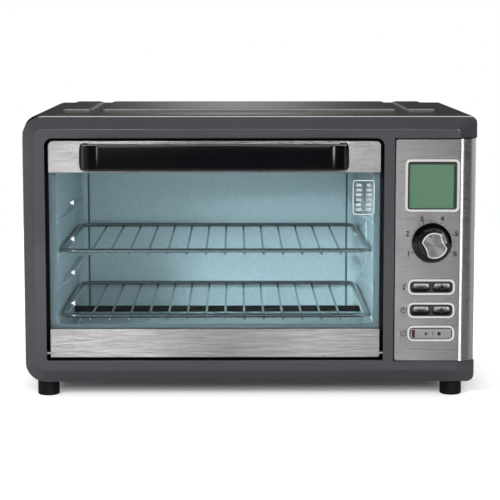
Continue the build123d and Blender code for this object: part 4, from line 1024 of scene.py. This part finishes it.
def floor_finish():
    """Pale floor paper, which the camera sees lifted to white away from the oven's own shadow."""
    made, tree, shader, place = start_finish("floor paper", Roughness=0.9, Specular_IOR_Level=0.1)
    cloud = add_node(tree, "TexNoise", {"Vector": place, "Scale": 3.0})
    blend_colours(tree, shader, cloud.outputs["Fac"], (0.79, 0.79, 0.79), (0.81, 0.81, 0.81))
    path = add_node(tree, "LightPath").outputs
    paper = shader.inputs["Base Color"].links[0].from_socket
    mirrored = calc(tree, "MULTIPLY", path["Is Glossy Ray"], 0.5)
    dimmed = add_node(tree, "Mix", {0: mirrored, 6: paper, 7: (0.02, 0.02, 0.02, 1.0)}, data_type="RGBA")
    tree.links.new(dimmed.outputs[2], shader.inputs["Base Color"])
    ground = add_node(tree, "SeparateXYZ", {"Vector": place}).outputs
    squares = []
    for axis, inner in (("X", 0.215), ("Y", 0.062)):
        beyond = calc(tree, "SUBTRACT", calc(tree, "ABSOLUTE", ground[axis]), inner)
        outward = calc(tree, "MAXIMUM", beyond, 0.0)
        squares.append(calc(tree, "MULTIPLY", outward, outward))
    away = calc(tree, "SQRT", calc(tree, "ADD", *squares))
    strength = calc(tree, "ADD", masked(tree, 0.6, away, 0.0, 0.09), 0.03)
    lift = add_node(tree, "Emission", {"Color": white, "Strength": strength})
    lifted = add_node(tree, "AddShader", {0: shader.outputs[0], 1: lift.outputs[0]})
    direct = calc(tree, "MAXIMUM", path["Is Camera Ray"], path["Is Transmission Ray"])
    seen = add_node(tree, "MixShader", {0: direct, 1: shader.outputs[0], 2: lifted.outputs[0]})
    tree.links.new(seen.outputs[0], tree.nodes["Material Output"].inputs["Surface"])
    return made


def light_world():
    """White to the camera and even to matt surfaces. Metal and glass see a dim room instead: in front
    of the oven narrow soft boxes overhead and at both sides, and behind it a dark wall, brighter
    towards its sides and high up."""
    room = bpy.data.worlds.new("studio")
    room.use_nodes = True
    bpy.context.scene.world = room
    tree = room.node_tree
    way = add_node(tree, "SeparateXYZ", {"Vector": add_node(tree, "TexCoord").outputs["Generated"]}).outputs
    aside = calc(tree, "ABSOLUTE", way["X"])
    overhead = 0.16
    for at, width, height in ((-0.069, 0.024, 5.6), (0.042, 0.018, 4.4), (0.092, 0.012, 2.6)):
        overhead = calc(tree, "ADD", hump(tree, way["X"], at, width, height), overhead)
    for value, low, high in ((way["Z"], -0.01, 0.16), (way["Z"], 0.62, 0.42), (aside, 0.75, 0.45)):
        overhead = masked(tree, overhead, value, low, high)
    uprights = hump(tree, way["X"], -0.20, 0.045, 6.0)
    uprights = calc(tree, "ADD", uprights, hump(tree, way["X"], 0.42, 0.075, 9.0))
    for low, high in ((-0.14, 0.0), (0.55, 0.35)):
        uprights = masked(tree, uprights, way["Z"], low, high)
    sides = masked(tree, 0.2, way["X"], -0.82, -0.97)
    front = 0.035
    for part in (overhead, uprights, sides):
        front = calc(tree, "ADD", part, front)
    wall = calc(tree, "ADD", hump(tree, way["X"], 0.0, 0.05, 0.33), 0.05)
    wall = calc(tree, "ADD", masked(tree, 0.7, aside, 0.25, 0.5), wall)
    wall = calc(tree, "ADD", masked(tree, 1.6, way["Z"], 0.35, 0.6), wall)
    sheen = add_node(tree, "Mix", {0: soft_step(tree, way["Y"], -0.1, 0.35), 2: front, 3: wall})
    path = add_node(tree, "LightPath").outputs
    matt = calc(tree, "MAXIMUM", path["Is Diffuse Ray"], path["Is Transmission Ray"])
    level = add_node(tree, "Mix", {0: matt, 2: sheen.outputs[0], 3: 0.30})
    dim = tree.nodes["Background"]
    tree.links.new(level.outputs[0], dim.inputs["Strength"])
    dim.inputs["Color"].default_value = white
    backdrop = add_node(tree, "Background", {"Color": white, "Strength": 1.0})
    seen = add_node(tree, "MixShader", {0: path["Is Camera Ray"], 1: dim.outputs[0], 2: backdrop.outputs[0]})
    tree.links.new(seen.outputs[0], tree.nodes["World Output"].inputs["Surface"])


def aimed_lamp(kind, name, at, aim, power):
    """A lamp turned to face a point."""
    bpy.ops.object.light_add(type=kind, location=at)
    lamp = bpy.context.active_object
    lamp.name = name
    lamp.data.energy = power
    lamp.rotation_euler = (Vector(aim) - Vector(at)).to_track_quat("-Z", "Y").to_euler()
    return lamp


def soft_lamp(name, at, size, power):
    """A rectangular soft box turned to face the oven."""
    lamp = aimed_lamp("AREA", name, at, (0.0, 0.0, 0.17), power)
    lamp.data.shape = "RECTANGLE"
    lamp.data.size, lamp.data.size_y = size
    lamp.visible_camera = False
    return lamp


white = (1.0, 1.0, 1.0, 1.0)
bpy.ops.object.select_all(action="DESELECT")
bpy.ops.mesh.primitive_circle_add(vertices=96, radius=1.7, fill_type="NGON", location=(0.0, 0.0, 0.0))
studio_floor = bpy.context.active_object
studio_floor.name = "studio_floor"
studio_floor.data.materials.append(floor_finish())
light_world()
key = soft_lamp("lamp_key", (-1.15, -2.15, 1.05), (0.4, 0.4), 41.0)
soft_lamp("lamp_rear", (0.0, 1.35, 2.35), (2.2, 0.5), 20.0)
fill = soft_lamp("lamp_fill", (1.0, -2.1, 0.9), (0.8, 0.8), 3.0)
soft_lamp("lamp_top", (0.0, 0.2, 2.4), (1.6, 0.35), 2.0)
beam = aimed_lamp("SPOT", "lamp_cavity", (-0.55, -2.2, 0.62), (0.08, 0.12, 0.155), 62.0)
beam.data.spot_size = radians(8.0)
beam.data.spot_blend = 1.0
beam.data.shadow_soft_size = 0.06
for lamp in (key, fill, beam):
    lamp.visible_glossy = False


# Camera: a long lens in front of the oven and a little above its top, turned slightly down. Its frame
# is wide enough to leave white all round.
lens = bpy.data.cameras.new("camera")
lens.lens = 129.5
lens.sensor_width = 36.0
lens.clip_end = 50.0
camera = bpy.data.objects.new("camera", lens)
camera.location = (-0.01605, -2.221, 0.438)
camera.rotation_euler = (radians(90.0 - 7.22), 0.0, radians(-0.446))
bpy.context.collection.objects.link(camera)
bpy.context.scene.camera = camera
bpy.context.scene.view_settings.view_transform = "Standard"
